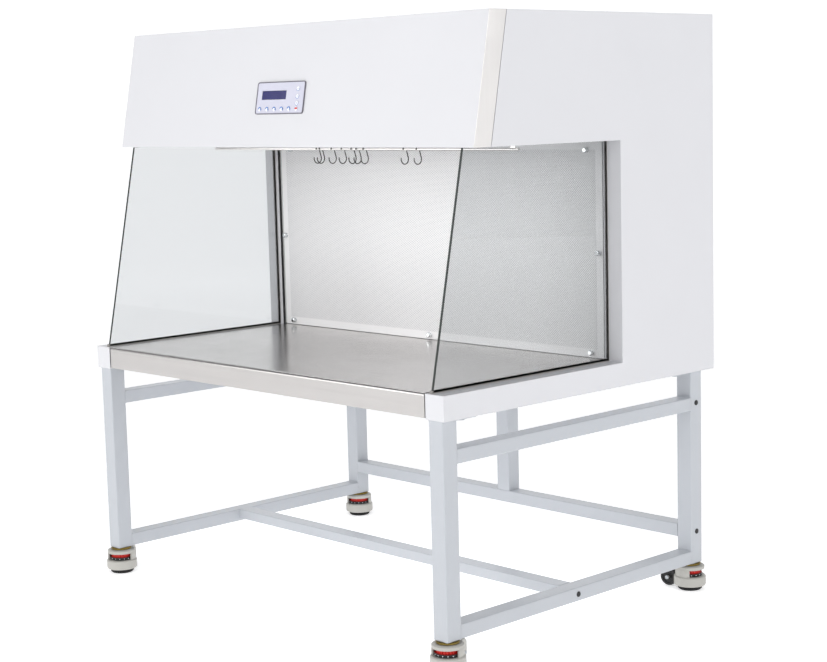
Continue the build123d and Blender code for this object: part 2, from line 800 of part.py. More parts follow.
def impeller():
    """Double-width wheel: two rims, a centre disc, forward-curved blades and the motor's shaft."""
    blades = 28
    rim = 3
    width = fan_width - 30
    inner = fan_radius - 16
    plane = Plane(origin=(-width / 2, fan_y, fan_z), x_dir=(0, 1, 0), z_dir=(1, 0, 0))
    with BuildPart() as wheel:
        for shift in (0, width - rim):
            with BuildSketch(plane.offset(shift)):
                Circle(fan_radius)
                Circle(inner, mode=Mode.SUBTRACT)
            extrude(amount=rim)
        with BuildSketch(plane.offset(width / 2 - rim / 2)):
            Circle(fan_radius)
        extrude(amount=rim)
        with BuildSketch(plane.offset(width / 2 - 15)):
            Circle(18)
        extrude(amount=30)
        with BuildSketch(plane):
            with PolarLocations((fan_radius + inner) / 2, blades):
                Rectangle(fan_radius - inner - 1, 1.5, rotation=-35)
        extrude(amount=width)
        with BuildSketch(Plane(origin=(motor_x + 30, fan_y, fan_z), x_dir=(0, 1, 0), z_dir=(1, 0, 0))):
            Circle(shaft_radius)
        extrude(amount=-motor_x - 30)
    return wheel.part


def blower_motor():
    """Fan motor on a foot, bored for the impeller's shaft."""
    plane = Plane(origin=(motor_x, fan_y, fan_z), x_dir=(0, 1, 0), z_dir=(1, 0, 0))
    foot = deck_z + sheet
    with BuildPart() as motor:
        with BuildSketch(plane):
            Circle(motor_radius)
        extrude(amount=motor_length)
        chamfer(motor.edges().filter_by(GeomType.CIRCLE), 4)
        with BuildSketch(Plane((motor_x + motor_length / 2, fan_y, foot))):
            Rectangle(motor_length - 20, 60)
        extrude(amount=fan_z - foot)
        with BuildSketch(Plane((motor_x + motor_length / 2, fan_y, foot))):
            Rectangle(motor_length + 10, 130)
        extrude(amount=5)
        with BuildSketch(plane.offset(29)):
            Circle(shaft_radius + running_gap)
        extrude(amount=motor_length, mode=Mode.SUBTRACT)
    return motor.part


def prefilter():
    """Coarse intake filter: a card frame round a flat pad."""
    with BuildPart() as panel:
        with BuildSketch(Plane((0, intake_y, bench_height - 2 * sheet - 24))):
            Rectangle(intake_width - 6, intake_depth - 6)
        extrude(amount=22)
        for low in (bench_height - 2 * sheet - 24, bench_height - 2 * sheet - 6):
            with BuildSketch(Plane((0, intake_y, low))):
                Rectangle(intake_width - 46, intake_depth - 46)
            extrude(amount=4, mode=Mode.SUBTRACT)
    return panel.part


# ---------------------------------------------------------------- lamps and electrics
def lamp_reflector():
    """Folded reflector over the slot in the ceiling, with its end brackets and tube sockets."""
    low = hood_bottom + sheet
    high = low + 58
    mouth = lamp_mouth / 2
    crown = mouth - 18
    with BuildPart() as reflector:
        with BuildSketch(Plane(origin=(-lamp_length / 2, lamp_y, 0), x_dir=(0, 1, 0), z_dir=(1, 0, 0))):
            Polygon((-mouth, low), (-crown, high), (crown, high), (mouth, low), align=None)
        extrude(amount=lamp_length)
        with BuildSketch(Plane(origin=(sheet - lamp_length / 2, lamp_y, 0), x_dir=(0, 1, 0), z_dir=(1, 0, 0))):
            Polygon((-mouth + sheet, low), (-crown + sheet / 2, high - sheet), (crown - sheet / 2, high - sheet),
                    (mouth - sheet, low), align=None)
        extrude(amount=lamp_length - 2 * sheet, mode=Mode.SUBTRACT)
        for shift, length in ((-tube_spacing / 2, lamp_tube_length), (tube_spacing / 2, uv_tube_length)):
            for side in (-1, 1):
                with BuildSketch(Plane((side * (length / 2 + 8), lamp_y + shift, tube_z - 14))):
                    Rectangle(15.6, 26)
                extrude(amount=high - sheet - tube_z + 14)
    return reflector.part


def lamp(length, shift):
    """A discharge tube with a cap and two pins at each end."""
    cap = 20
    with BuildPart() as bulb:
        with BuildSketch(Plane(origin=(-length / 2, lamp_y + shift, tube_z), x_dir=(0, 1, 0),
                               z_dir=(1, 0, 0))):
            Circle(tube_radius)
        extrude(amount=length)
        for start in (-length / 2, length / 2 - cap):
            with BuildSketch(Plane(origin=(start, lamp_y + shift, tube_z), x_dir=(0, 1, 0), z_dir=(1, 0, 0))):
                Circle(tube_radius + 0.6)
            extrude(amount=cap)
    return bulb.part


def control_panel():
    """Overlay plate with a display window and raised round keys."""
    key_radius = 7
    key_height = 0.8
    with BuildPart() as panel:
        with BuildSketch(panel_plane):
            RectangleRounded(panel_width, panel_height, 5)
            with Locations(display_place):
                Rectangle(display_width, display_height, mode=Mode.SUBTRACT)
        extrude(amount=panel_thickness)
        with BuildSketch(panel_plane.offset(panel_thickness)):
            with Locations(*key_places):
                Circle(key_radius)
        extrude(amount=key_height)
    return panel.part


def display():
    """Backlit display module behind the overlay's window."""
    with BuildPart() as module:
        with BuildSketch(panel_plane.offset(-8)):
            with Locations(display_place):
                Rectangle(display_width - 1, display_height - 1)
        extrude(amount=8 + panel_thickness - 1)
    return module.part


def control_board():
    """Control board behind the overlay, with its spacers, relays and transformer."""
    parts_on_board = [(-60, 12, 22, 26, 24), (-20, 14, 18, 22, 16), (6, 14, 18, 22, 16), (48, 8, 34, 34, 26)]
    with BuildPart() as board:
        with BuildSketch(panel_plane.offset(-10)):
            Rectangle(panel_width - 2 * panel_lap - 6, panel_height - 2 * panel_lap - 4)
        extrude(amount=1.6)
        for u, v, width, height, depth in parts_on_board:
            with BuildSketch(panel_plane.offset(-10)):
                with Locations((u, v - 10)):
                    Rectangle(width, height)
            extrude(amount=-depth)
    return board.part


def power_inlet():
    """Appliance inlet in the rear panel."""
    face = Plane(origin=(inlet_x, back - rear_setback + sheet, inlet_z), x_dir=(-1, 0, 0), z_dir=(0, 1, 0))
    with BuildPart() as inlet:
        with BuildSketch(face):
            RectangleRounded(inlet_width + 22, inlet_height + 4, 3)
        extrude(amount=2)
        with BuildSketch(face):
            Rectangle(inlet_width - 1, inlet_height - 1)
        extrude(amount=-22)
        with BuildSketch(face.offset(2)):
            RectangleRounded(inlet_width - 5, inlet_height - 5, 3)
        extrude(amount=-18, mode=Mode.SUBTRACT)
        with BuildSketch(face.offset(-16)):
            with GridLocations(7, 0, 3, 1):
                Rectangle(2, 4)
        extrude(amount=14)
    return inlet.part


# ---------------------------------------------------------------- build and write every sub-part
legs = {
    "leg_front_left": (-leg_x, front_leg_y, 1, []),
    "leg_front_right": (leg_x, front_leg_y, 1, []),
    "leg_rear_left": (-leg_x, rear_leg_y, -1, [rear_rail_bottom + rail_tube / 2, upper_rail_bottom + 21]),
    "leg_rear_right": (leg_x, rear_leg_y, -1, [rear_rail_bottom + rail_tube / 2, upper_rail_bottom + 21]),
}
for name, (x, y, inward, heights) in legs.items():
    save(leg(x, y, inward, heights), name)
save(side_rails(-1), "side_rails_left")
save(side_rails(1), "side_rails_right")

across = Plane(origin=(-stand_inner_half, stretcher_y, leg_bottom + rail_tube - stretcher_tube / 2),
               x_dir=(0, 1, 0), z_dir=(1, 0, 0))
save(tube(across, leg_tube, stretcher_tube, 2 * stand_inner_half), "lower_stretcher")
across = Plane(origin=(-stand_inner_half, rear_leg_y, rear_rail_bottom + rail_tube / 2),
               x_dir=(0, 1, 0), z_dir=(1, 0, 0))
save(tube(across, leg_tube, rail_tube, 2 * stand_inner_half), "rear_rail")
post_bottom = rear_rail_bottom + rail_tube
save(tube(Plane((0, rear_leg_y, post_bottom)), leg_tube, leg_tube, rail_bottom - post_bottom), "rear_post")

plug_places = [(rear_leg_y, height) for height in legs["leg_rear_left"][3]]
plug_places.append((stretcher_y, leg_bottom + rail_tube / 2))
outer_x = leg_x + leg_tube / 2
save(group([plug(side * outer_x, y, z) for side in (-1, 1) for y, z in plug_places]), "frame_plugs")
bolts = []
for side in (-1, 1):
    for y in bolt_rows:
        bolts += mounting_bolt(side * leg_x, y)
save(group(bolts), "mounting_bolts")

save(group([placed(caster_stem(), name) for name in casters]), "caster_stems")
for name in casters:
    save(placed(caster_housing(), name), f"caster_housing_{name}")
    save(placed(caster_wheel(), name), f"caster_wheel_{name}")
    save(placed(caster_dial(), name), f"caster_dial_{name}")
    save(placed(caster_pad(), name), f"caster_pad_{name}")

right_side = side_panel()
save(right_side, "side_panel_right")
save(right_side.mirror(Plane.YZ), "side_panel_left")
save(fascia(), "hood_fascia")
right_trim = trim_strip()
save(group([right_trim, right_trim.mirror(Plane.YZ)]), "trim_strips")
save(base_pan(), "base_pan")
save(worktop(), "worktop")
save(hood_ceiling(), "hood_ceiling")
save(rear_panel(), "rear_panel")
save(top_panel(), "top_panel")
save(intake_grille(), "intake_grille")

right_glass = side_glass()
save(right_glass, "side_glass_right")
save(right_glass.mirror(Plane.YZ), "side_glass_left")
right_seal = glass_seal()
save(group([right_seal, right_seal.mirror(Plane.YZ)]), "glass_seals")
save(diffuser_plate(), "diffuser_plate")
save(group([knob(x, z) for x, z in knob_places]), "diffuser_knobs")
save(hook_rail(), "hook_rail")
save(group([hook(x) for x in hook_places]), "s_hooks")

save(hepa_frame(), "hepa_frame")
save(hepa_media(), "hepa_media")
save(hepa_gasket(), "hepa_gasket")
save(plenum_deck(), "plenum_deck")
save(blower_housing(), "blower_housing")
save(impeller(), "blower_impeller")
save(blower_motor(), "blower_motor")
save(prefilter(), "intake_prefilter")

save(lamp_reflector(), "lamp_reflector")
save(lamp(lamp_tube_length, -tube_spacing / 2), "lamp_tube")
save(lamp(uv_tube_length, tube_spacing / 2), "uv_tube")
save(control_panel(), "control_panel")
save(display(), "display")
save(control_board(), "control_board")
save(power_inlet(), "power_inlet")
print(len(nodes), "sub-parts")
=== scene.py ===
"""Looks of a horizontal laminar flow clean bench on a welded stand with levelling casters.

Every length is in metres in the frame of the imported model: +X to the operator's right, +Y to the
back, +Z up, with the floor at z = 0. Names that end in _mm hold millimetres.
"""

import json
import logging
from dataclasses import dataclass, field
from enum import Enum
from math import atan2, cos, pi, radians, sin

import bmesh
import bpy
from mathutils import Matrix, Vector

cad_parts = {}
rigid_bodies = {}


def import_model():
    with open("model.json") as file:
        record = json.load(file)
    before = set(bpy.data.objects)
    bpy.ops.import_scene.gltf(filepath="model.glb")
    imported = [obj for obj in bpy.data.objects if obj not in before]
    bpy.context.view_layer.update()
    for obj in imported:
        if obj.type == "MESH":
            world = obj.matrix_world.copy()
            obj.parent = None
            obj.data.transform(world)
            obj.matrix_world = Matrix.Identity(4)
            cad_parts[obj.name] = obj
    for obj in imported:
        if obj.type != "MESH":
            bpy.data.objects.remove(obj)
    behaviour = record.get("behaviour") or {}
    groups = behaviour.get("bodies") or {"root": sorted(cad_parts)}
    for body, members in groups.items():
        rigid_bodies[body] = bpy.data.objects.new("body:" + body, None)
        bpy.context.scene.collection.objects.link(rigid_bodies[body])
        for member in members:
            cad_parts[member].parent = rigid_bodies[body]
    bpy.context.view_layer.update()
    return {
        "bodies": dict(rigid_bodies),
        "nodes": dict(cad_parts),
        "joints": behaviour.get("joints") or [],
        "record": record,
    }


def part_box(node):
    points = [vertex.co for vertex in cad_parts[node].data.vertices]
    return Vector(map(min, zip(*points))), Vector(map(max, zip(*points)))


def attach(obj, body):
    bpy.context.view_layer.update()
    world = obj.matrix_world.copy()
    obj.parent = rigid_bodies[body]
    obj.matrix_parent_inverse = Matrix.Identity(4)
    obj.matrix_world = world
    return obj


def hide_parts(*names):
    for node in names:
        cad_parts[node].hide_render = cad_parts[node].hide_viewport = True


LOG = logging.getLogger("clean_bench")
IMAGE_WIDTH = 827
MM = 0.001

Colour = tuple[float, float, float, float]
Point = tuple[float, float, float]
Flat = tuple[float, float]


class Slot(Enum):
    """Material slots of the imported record."""

    CABINET = "powder_white"
    STAND = "frame_grey_white"
    STAINLESS = "stainless"
    GLASS = "glass_clear"
    DIFFUSER = "diffuser_white"
    CHROME = "chrome"
    SEAL = "seal_dark"
    PLUG = "plug_black"
    BOLT = "bolt_steel"
    ZINC = "zinc_yellow"
    HOUSING = "housing_ivory"
    WHEEL = "wheel_black"
    DIAL = "dial_red"
    PAD = "pad_black"
    ALUMINIUM = "aluminium"
    MEDIA = "filter_white"
    FOAM = "foam_grey"
    GALVANISED = "galvanised"
    MOTOR = "motor_black"
    LAMP = "lamp_glass"
    BOARD = "board_green"
    OVERLAY = "overlay_grey"
    DISPLAY = "display_blue"


class Grain(Enum):
    """Direction in which a steel sheet was brushed, as its share of each axis' scale."""

    ALONG_X = (0.02, 1.0, 1.0)
    ALONG_Z = (1.0, 1.0, 0.02)


# ---------------------------------------------------------------- shader helpers
def linear(code: str) -> Colour:
    """Turns an sRGB hex value into a linear colour.

    Args:
        code: Six hex digits with a leading #.

    Returns:
        Red, green, blue and an alpha of 1.
    """
    parts = [int(code[i : i + 2], 16) / 255 for i in (1, 3, 5)]
    red, green, blue = (v / 12.92 if v <= 0.04045 else ((v + 0.055) / 1.055) ** 2.4 for v in parts)
    return (red, green, blue, 1.0)


def per_metre(size_mm: float) -> float:
    """Pattern scale, in repeats a metre, of a feature of that size."""
    return 1 / (size_mm * MM)


def add_node(
    tree: bpy.types.NodeTree, kind: str, settings: dict | None = None, links: dict | None = None
) -> bpy.types.Node:
    """Adds one node with its settings and links.

    Args:
        tree: Node tree that gets the node.
        kind: Blender's name of the node type.
        settings: Values by property name in lower case, or by input name or number.
        links: Output sockets by the name or number of the input that takes them.

    Returns:
        The new node.
    """
    new = tree.nodes.new(kind)
    for key, value in (settings or {}).items():
        if isinstance(key, str) and key[0].islower():
            setattr(new, key, value)
        else:
            new.inputs[key].default_value = value
    for key, source in (links or {}).items():
        tree.links.new(source, new.inputs[key])
    return new


# ---------------------------------------------------------------- finishes
@dataclass(frozen=True)
class Finish:
    """A finish: what the piece is made of and how its surface was made."""

    name: str
    slot: Slot

    def start(self) -> tuple[bpy.types.NodeTree, bpy.types.NodeSocket]:
        """Makes the material with an empty tree.

        Returns:
            The tree and the part's own coordinates.
        """
        material = bpy.data.materials.new(self.name)
        material.use_nodes = True
        tree = material.node_tree
        tree.nodes.clear()
        place = add_node(tree, "ShaderNodeTexCoord").outputs["Object"]
        return tree, place

    def close(self, tree: bpy.types.NodeTree, settings: dict, links: dict) -> bpy.types.Material:
        """Adds the surface shader and the output.

        Args:
            tree: Node tree of the material.
            settings: Constant sockets of the shader.
            links: Linked sockets of the shader.

        Returns:
            The finished material.
        """
        shader = add_node(tree, "ShaderNodeBsdfPrincipled", settings, links)
        add_node(tree, "ShaderNodeOutputMaterial", None, {"Surface": shader.outputs["BSDF"]})
        return bpy.data.materials[self.name]

    def cloud(
        self, tree: bpy.types.NodeTree, place: bpy.types.NodeSocket, size_mm: float, detail: float = 2.0
    ) -> bpy.types.NodeSocket:
        """Soft uneven pattern with features of a size.

        Args:
            tree: Node tree of the material.
            place: Coordinates of the pattern.
            size_mm: Width of one feature.
            detail: Finer layers on top of it.

        Returns:
            A value from 0 to 1.
        """
        settings = {"Scale": per_metre(size_mm), "Detail": detail, "Roughness": 0.55}
        return add_node(tree, "ShaderNodeTexNoise", settings, {"Vector": place}).outputs[0]

    def between(
        self, tree: bpy.types.NodeTree, share: bpy.types.NodeSocket, low: str, high: str
    ) -> bpy.types.NodeSocket:
        """Blends two sRGB hex colours by a value from 0 to 1."""
        settings = {"data_type": "RGBA", 6: linear(low), 7: linear(high)}
        return add_node(tree, "ShaderNodeMix", settings, {0: share}).outputs[2]

    def spread(
        self, tree: bpy.types.NodeTree, value: bpy.types.NodeSocket, source: Flat, target: Flat
    ) -> bpy.types.NodeSocket:
        """Maps a value from one range to another and clamps it there."""
        settings = {"From Min": source[0], "From Max": source[1], "To Min": target[0], "To Max": target[1]}
        return add_node(tree, "ShaderNodeMapRange", settings, {"Value": value}).outputs["Result"]

    def relief(
        self, tree: bpy.types.NodeTree, height: bpy.types.NodeSocket, depth_mm: float, edge_mm: float
    ) -> bpy.types.NodeSocket:
        """Bump of a depth on top of softly rounded edges.

        Args:
            tree: Node tree of the material.
            height: Pattern from 0 to 1 that is raised.
            depth_mm: Height of the pattern.
            edge_mm: Radius that folded and cut edges have.

        Returns:
            The normal.
        """
        edge = add_node(tree, "ShaderNodeBevel", {"samples": 4, "Radius": edge_mm * MM})
        settings = {"Strength": 1.0, "Distance": depth_mm * MM}
        links = {"Height": height, "Normal": edge.outputs["Normal"]}
        return add_node(tree, "ShaderNodeBump", settings, links).outputs["Normal"]


@dataclass(frozen=True)
class Paint(Finish):
    """Sprayed coat on metal. A soft sheen, a slight orange peel and a hardly uneven tone."""

    colour: str
    shade: str
    roughness: float = 0.36
    peel_mm: float = 3.0
    depth_mm: float = 0.02
    edge_mm: float = 1.5
    cloud_mm: float = 260.0
    ior: float = 1.5

    def build(self) -> bpy.types.Material:
        """Makes the material.

        Returns:
            The finished material.
        """
        tree, place = self.start()
        tone = self.cloud(tree, place, self.cloud_mm, 3.0)
        peel = self.cloud(tree, place, self.peel_mm)
        links = {
            "Base Color": self.between(tree, tone, self.shade, self.colour),
            "Roughness": self.spread(tree, peel, (0.3, 0.7), (self.roughness - 0.04, self.roughness + 0.04)),
            "Normal": self.relief(tree, peel, self.depth_mm, self.edge_mm),
        }
        return self.close(tree, {"IOR": self.ior}, links)


@dataclass(frozen=True)
class BrushedSteel(Finish):
    """Brushed sheet steel. Fine streaks along the grain that draw reflections out across it."""

    colour: str
    shade: str
    grain: Grain
    roughness: float = 0.27
    streak_mm: float = 1.6  # real brush lines are near 0.1 mm and would not show, so they are coarser
    smear_mm: float = 90.0
    depth_mm: float = 0.006
    edge_mm: float = 1.0

    def build(self) -> bpy.types.Material:
        """Makes the material.

        Returns:
            The finished material.
        """
        tree, place = self.start()
        drawn = add_node(tree, "ShaderNodeMapping", {"Scale": self.grain.value}, {"Vector": place}).outputs[0]
        streaks = self.cloud(tree, drawn, self.streak_mm, 4.0)
        bands = self.cloud(tree, drawn, 9 * self.streak_mm, 3.0)
        smears = self.cloud(tree, place, self.smear_mm)
        links = {
            "Base Color": self.between(tree, bands, self.shade, self.colour),
            "Roughness": self.spread(
                tree, smears, (0.35, 0.65), (self.roughness - 0.02, self.roughness + 0.02)
            ),
            "Normal": self.relief(tree, streaks, self.depth_mm, self.edge_mm),
        }
        return self.close(tree, {"Metallic": 1.0, "Anisotropic": 0.4}, links)


@dataclass(frozen=True)
class PlatedMetal(Finish):
    """Plated or bare metal. A tinted mirror, more or less clouded by its grain."""

    colour: str
    shade: str
    roughness: float
    mottle_mm: float = 6.0
    depth_mm: float = 0.004
    edge_mm: float = 0.5

    def build(self) -> bpy.types.Material:
        """Makes the material.

        Returns:
            The finished material.
        """
        tree, place = self.start()
        mottle = self.cloud(tree, place, self.mottle_mm, 4.0)
        links = {
            "Base Color": self.between(tree, mottle, self.shade, self.colour),
            "Roughness": self.spread(
                tree, mottle, (0.3, 0.7), (0.8 * self.roughness, 1.25 * self.roughness)
            ),
            "Normal": self.relief(tree, mottle, self.depth_mm, self.edge_mm),
        }
        return self.close(tree, {"Metallic": 1.0}, links)


@dataclass(frozen=True)
class Galvanised(Finish):
    """Hot-dip galvanised sheet. Flat crystals a few millimetres wide, each with its own grey."""

    spangle_mm: float = 9.0
    depth_mm: float = 0.01
    edge_mm: float = 0.8

    def build(self) -> bpy.types.Material:
        """Makes the material.

        Returns:
            The finished material.
        """
        tree, place = self.start()
        settings = {"Scale": per_metre(self.spangle_mm)}
        cells = add_node(tree, "ShaderNodeTexVoronoi", settings, {"Vector": place})
        tone = self.spread(tree, cells.outputs["Distance"], (0.0, 0.9), (0.0, 1.0))
        links = {
            "Base Color": self.between(tree, tone, "#c3c8cb", "#969c9f"),
            "Roughness": self.spread(tree, tone, (0.0, 1.0), (0.32, 0.48)),
            "Normal": self.relief(tree, tone, self.depth_mm, self.edge_mm),
        }
        return self.close(tree, {"Metallic": 1.0}, links)


@dataclass(frozen=True)
class Plastic(Finish):
    """Moulded plastic or rubber. A fine spark-eroded grain that dulls its highlight."""

    colour: str
    shade: str
    roughness: float
    grain_mm: float = 0.8
    depth_mm: float = 0.02
    edge_mm: float = 0.6
    cloud_mm: float = 25.0
    ior: float = 1.49

    def build(self) -> bpy.types.Material:
        """Makes the material.

        Returns:
            The finished material.
        """
        tree, place = self.start()
        grain = self.cloud(tree, place, self.grain_mm)
        tone = self.cloud(tree, place, self.cloud_mm, 3.0)
        links = {
            "Base Color": self.between(tree, tone, self.shade, self.colour),
            "Roughness": self.spread(
                tree, tone, (0.3, 0.7), (self.roughness - 0.05, self.roughness + 0.05)
            ),
            "Normal": self.relief(tree, grain, self.depth_mm, self.edge_mm),
        }
        return self.close(tree, {"IOR": self.ior}, links)


@dataclass(frozen=True)
class FloatGlass(Finish):
    """Clear float glass. Colourless through its thickness, with a hardly visible wiping haze."""

    tint: str = "#dee0e1"
    haze: float = 0.012
    wipe_mm: float = 140.0

    def build(self) -> bpy.types.Material:
        """Makes the material.

        Returns:
            The finished material.
        """
        tree, place = self.start()
        wiped = self.cloud(tree, place, self.wipe_mm, 3.0)
        links = {"Roughness": self.spread(tree, wiped, (0.45, 0.75), (0.0, self.haze))}
        settings = {"Base Color": linear(self.tint), "IOR": 1.5, "Transmission Weight": 1.0}
        return self.close(tree, settings, links)


@dataclass(frozen=True)
class GroundEdge(Finish):
    """Ground edge of float glass. The iron in the glass shows deep green along its length."""

    band_mm: float = 60.0
    frost_mm: float = 0.5

    def build(self) -> bpy.types.Material:
        """Makes the material.

        Returns:
            The finished material.
        """
        tree, place = self.start()
        depth = self.cloud(tree, place, self.band_mm, 3.0)
        frost = self.cloud(tree, place, self.frost_mm)
        links = {
            "Base Color": self.between(tree, depth, "#030806", "#0c1f18"),
            "Roughness": self.spread(tree, frost, (0.3, 0.7), (0.3, 0.4)),
        }
        return self.close(tree, {"IOR": 1.52}, links)


@dataclass(frozen=True)
class PerforatedSheet(Finish):
    """Punched sheet with a white coat. Staggered round holes inside a plain border, their grey painted shade
    for the dark depth behind them.

    The real holes are near 2 mm at a 3.5 mm pitch. They are drawn at a 5 mm pitch so that they show.
    """

    low: Point = (0.0, 0.0, 0.0)
    high: Point = (0.0, 0.0, 0.0)
    border_mm: float = 24.0
    pitch_mm: float = 5.0
    hole_share: float = 0.29
    rim_share: float = 0.04
    border_fade: float = 0.0005
    depth_mm: float = 0.4
    edge_mm: float = 0.8
    colour: str = "#faf9f9"
    # grey of the holes: painted shade for the dark space seen through them
    hole_shade: str = "#b4b6b8"

    def inside(
        self, tree: bpy.types.NodeTree, value: bpy.types.NodeSocket, low: float, high: float
    ) -> bpy.types.NodeSocket:
        """Mask of the plate's field along one axis.

        Args:
            tree: Node tree of the material.
            value: Coordinate along the axis.
            low: Lower end of the plate.
            high: Upper end of the plate.

        Returns:
            One between the two ends, less the border, and zero elsewhere.
        """
        middle = (low + high) / 2
        reach = (high - low) / 2 - self.border_mm * MM
        away = add_node(tree, "ShaderNodeMath", {"operation": "SUBTRACT", 1: middle}, {0: value}).outputs[0]
        size = add_node(tree, "ShaderNodeMath", {"operation": "ABSOLUTE"}, {0: away}).outputs[0]
        return self.spread(tree, size, (reach, reach + self.border_fade), (1.0, 0.0))

    def build(self) -> bpy.types.Material:
        """Makes the material.

        Returns:
            The finished material.
        """
        tree, place = self.start()
        axes = add_node(tree, "ShaderNodeSeparateXYZ", None, {"Vector": place}).outputs
        across = self.inside(tree, axes["X"], self.low[0], self.high[0])
        upright = self.inside(tree, axes["Z"], self.low[2], self.high[2])
        field_mask = add_node(tree, "ShaderNodeMath", {"operation": "MULTIPLY"}, {0: across, 1: upright})
        flat = add_node(tree, "ShaderNodeCombineXYZ", None, {"X": axes["X"], "Y": axes["Z"]}).outputs[0]
        turned = add_node(
            tree, "ShaderNodeMapping", {"Rotation": (0.0, 0.0, radians(45))}, {"Vector": flat}
        ).outputs[0]
        settings = {"voronoi_dimensions": "2D", "Scale": per_metre(self.pitch_mm), "Randomness": 0.0}
        cells = add_node(tree, "ShaderNodeTexVoronoi", settings, {"Vector": turned})
        rim = (self.hole_share - self.rim_share, self.hole_share + self.rim_share)
        hole_shade = self.spread(tree, cells.outputs["Distance"], rim, (1.0, 0.0))
        punched = add_node(
            tree, "ShaderNodeMath", {"operation": "MULTIPLY"}, {0: hole_shade, 1: field_mask.outputs[0]}
        ).outputs[0]
        sunk = self.spread(tree, punched, (0.0, 1.0), (1.0, 0.0))
        links = {
            # the holes take the painted shade grey
            "Base Color": self.between(tree, punched, self.colour, self.hole_shade),
            "Roughness": self.spread(tree, punched, (0.0, 1.0), (0.42, 0.8)),
            "Normal": self.relief(tree, sunk, self.depth_mm, self.edge_mm),
        }
        return self.close(tree, {"IOR": 1.5}, links)


@dataclass(frozen=True)
class TwoToneDial(Finish):
    """Glossy moulded dial. A black band below and red thumb teeth above."""

    split: float = 0.050
    split_fade: float = 0.0003
    grain_mm: float = 0.8
    depth_mm: float = 0.01
    edge_mm: float = 0.4

    def build(self) -> bpy.types.Material:
        """Makes the material.

        Returns:
            The finished material.
        """
        tree, place = self.start()
        height = add_node(tree, "ShaderNodeSeparateXYZ", None, {"Vector": place}).outputs["Z"]
        change = (self.split - self.split_fade, self.split + self.split_fade)
        upper = self.spread(tree, height, change, (0.0, 1.0))
        grain = self.cloud(tree, place, self.grain_mm)
        red = self.between(tree, grain, "#c8160b", "#e02616")
        settings = {"data_type": "RGBA", 6: linear("#050506")}
        colour = add_node(tree, "ShaderNodeMix", settings, {0: upper, 7: red}).outputs[2]
        links = {
            "Base Color": colour,
            "Roughness": self.spread(tree, upper, (0.0, 1.0), (0.5, 0.38)),
            "Normal": self.relief(tree, grain, self.depth_mm, self.edge_mm),
        }
        return self.close(tree, {"IOR": 1.5}, links)


@dataclass(frozen=True)
class PleatedMedia(Finish):
    """Glass-fibre filter paper. A dry felted face with fine fibres."""

    colour: str = "#eceae4"
    shade: str = "#d9d6ce"
    fibre_mm: float = 1.2
    depth_mm: float = 0.15
    edge_mm: float = 0.3

    def build(self) -> bpy.types.Material:
        """Makes the material.

        Returns:
            The finished material.
        """
        tree, place = self.start()
        drawn = add_node(tree, "ShaderNodeMapping", {"Scale": (1.0, 1.0, 0.25)}, {"Vector": place}).outputs[0]
        fibres = self.cloud(tree, drawn, self.fibre_mm, 6.0)
        links = {
            "Base Color": self.between(tree, fibres, self.shade, self.colour),
            "Roughness": self.spread(tree, fibres, (0.0, 1.0), (0.85, 0.95)),
            "Normal": self.relief(tree, fibres, self.depth_mm, self.edge_mm),
        }
        return self.close(tree, {"IOR": 1.45, "Sheen Weight": 0.1}, links)


@dataclass(frozen=True)
class OpalTube(Finish):
    """Coated discharge tube. A milky glass body between two aluminium caps."""

    cap_start: float = 0.0
    cap_width: float = 0.020
    cap_fade: float = 0.0004
    cloud_mm: float = 30.0

    def build(self) -> bpy.types.Material:
        """Makes the material.

        Returns:
            The finished material.
        """
        tree, place = self.start()
        along = add_node(tree, "ShaderNodeSeparateXYZ", None, {"Vector": place}).outputs["X"]
        away = add_node(tree, "ShaderNodeMath", {"operation": "ABSOLUTE"}, {0: along}).outputs[0]
        start = self.cap_start - self.cap_width
        cap = self.spread(tree, away, (start - self.cap_fade, start + self.cap_fade), (0.0, 1.0))
        glow = self.cloud(tree, place, self.cloud_mm)
        milk = self.between(tree, glow, "#eceeee", "#f6f7f6")
        settings = {"data_type": "RGBA", 7: linear("#b9bcbe")}
        colour = add_node(tree, "ShaderNodeMix", settings, {0: cap, 6: milk}).outputs[2]
        links = {
            "Base Color": colour,
            "Metallic": cap,
            "Roughness": self.spread(tree, cap, (0.0, 1.0), (0.08, 0.35)),
        }
        return self.close(tree, {"IOR": 1.5}, links)


@dataclass(frozen=True)
class CellDisplay(Finish):
    """Unlit liquid-crystal window. Deep blue with the faint rows of its character cells."""

    cell_mm: float = 5.2
    haze_mm: float = 20.0
    colour: str = "#1d1b58"
    cell: str = "#27266a"

    def build(self) -> bpy.types.Material:
        """Makes the material.

        Returns:
            The finished material.
        """
        tree, place = self.start()
        settings = {"offset": 0.0, "Scale": per_metre(self.cell_mm), "Mortar Size": 0.05, "Row Height": 1.0}
        settings |= {"Brick Width": 0.62, "Color1": linear(self.cell), "Color2": linear(self.cell)}
        axes = add_node(tree, "ShaderNodeSeparateXYZ", None, {"Vector": place}).outputs
        flat = add_node(tree, "ShaderNodeCombineXYZ", None, {"X": axes["X"], "Y": axes["Z"]}).outputs[0]
        cells = add_node(
            tree, "ShaderNodeTexBrick", settings | {"Mortar": linear(self.colour)}, {"Vector": flat}
        )
        haze = self.cloud(tree, place, self.haze_mm)
        links = {
            "Base Color": cells.outputs["Color"],
            "Roughness": self.spread(tree, haze, (0.3, 0.7), (0.06, 0.12)),
        }
        return self.close(tree, {"IOR": 1.5, "Coat Weight": 0.6, "Coat Roughness": 0.03}, links)


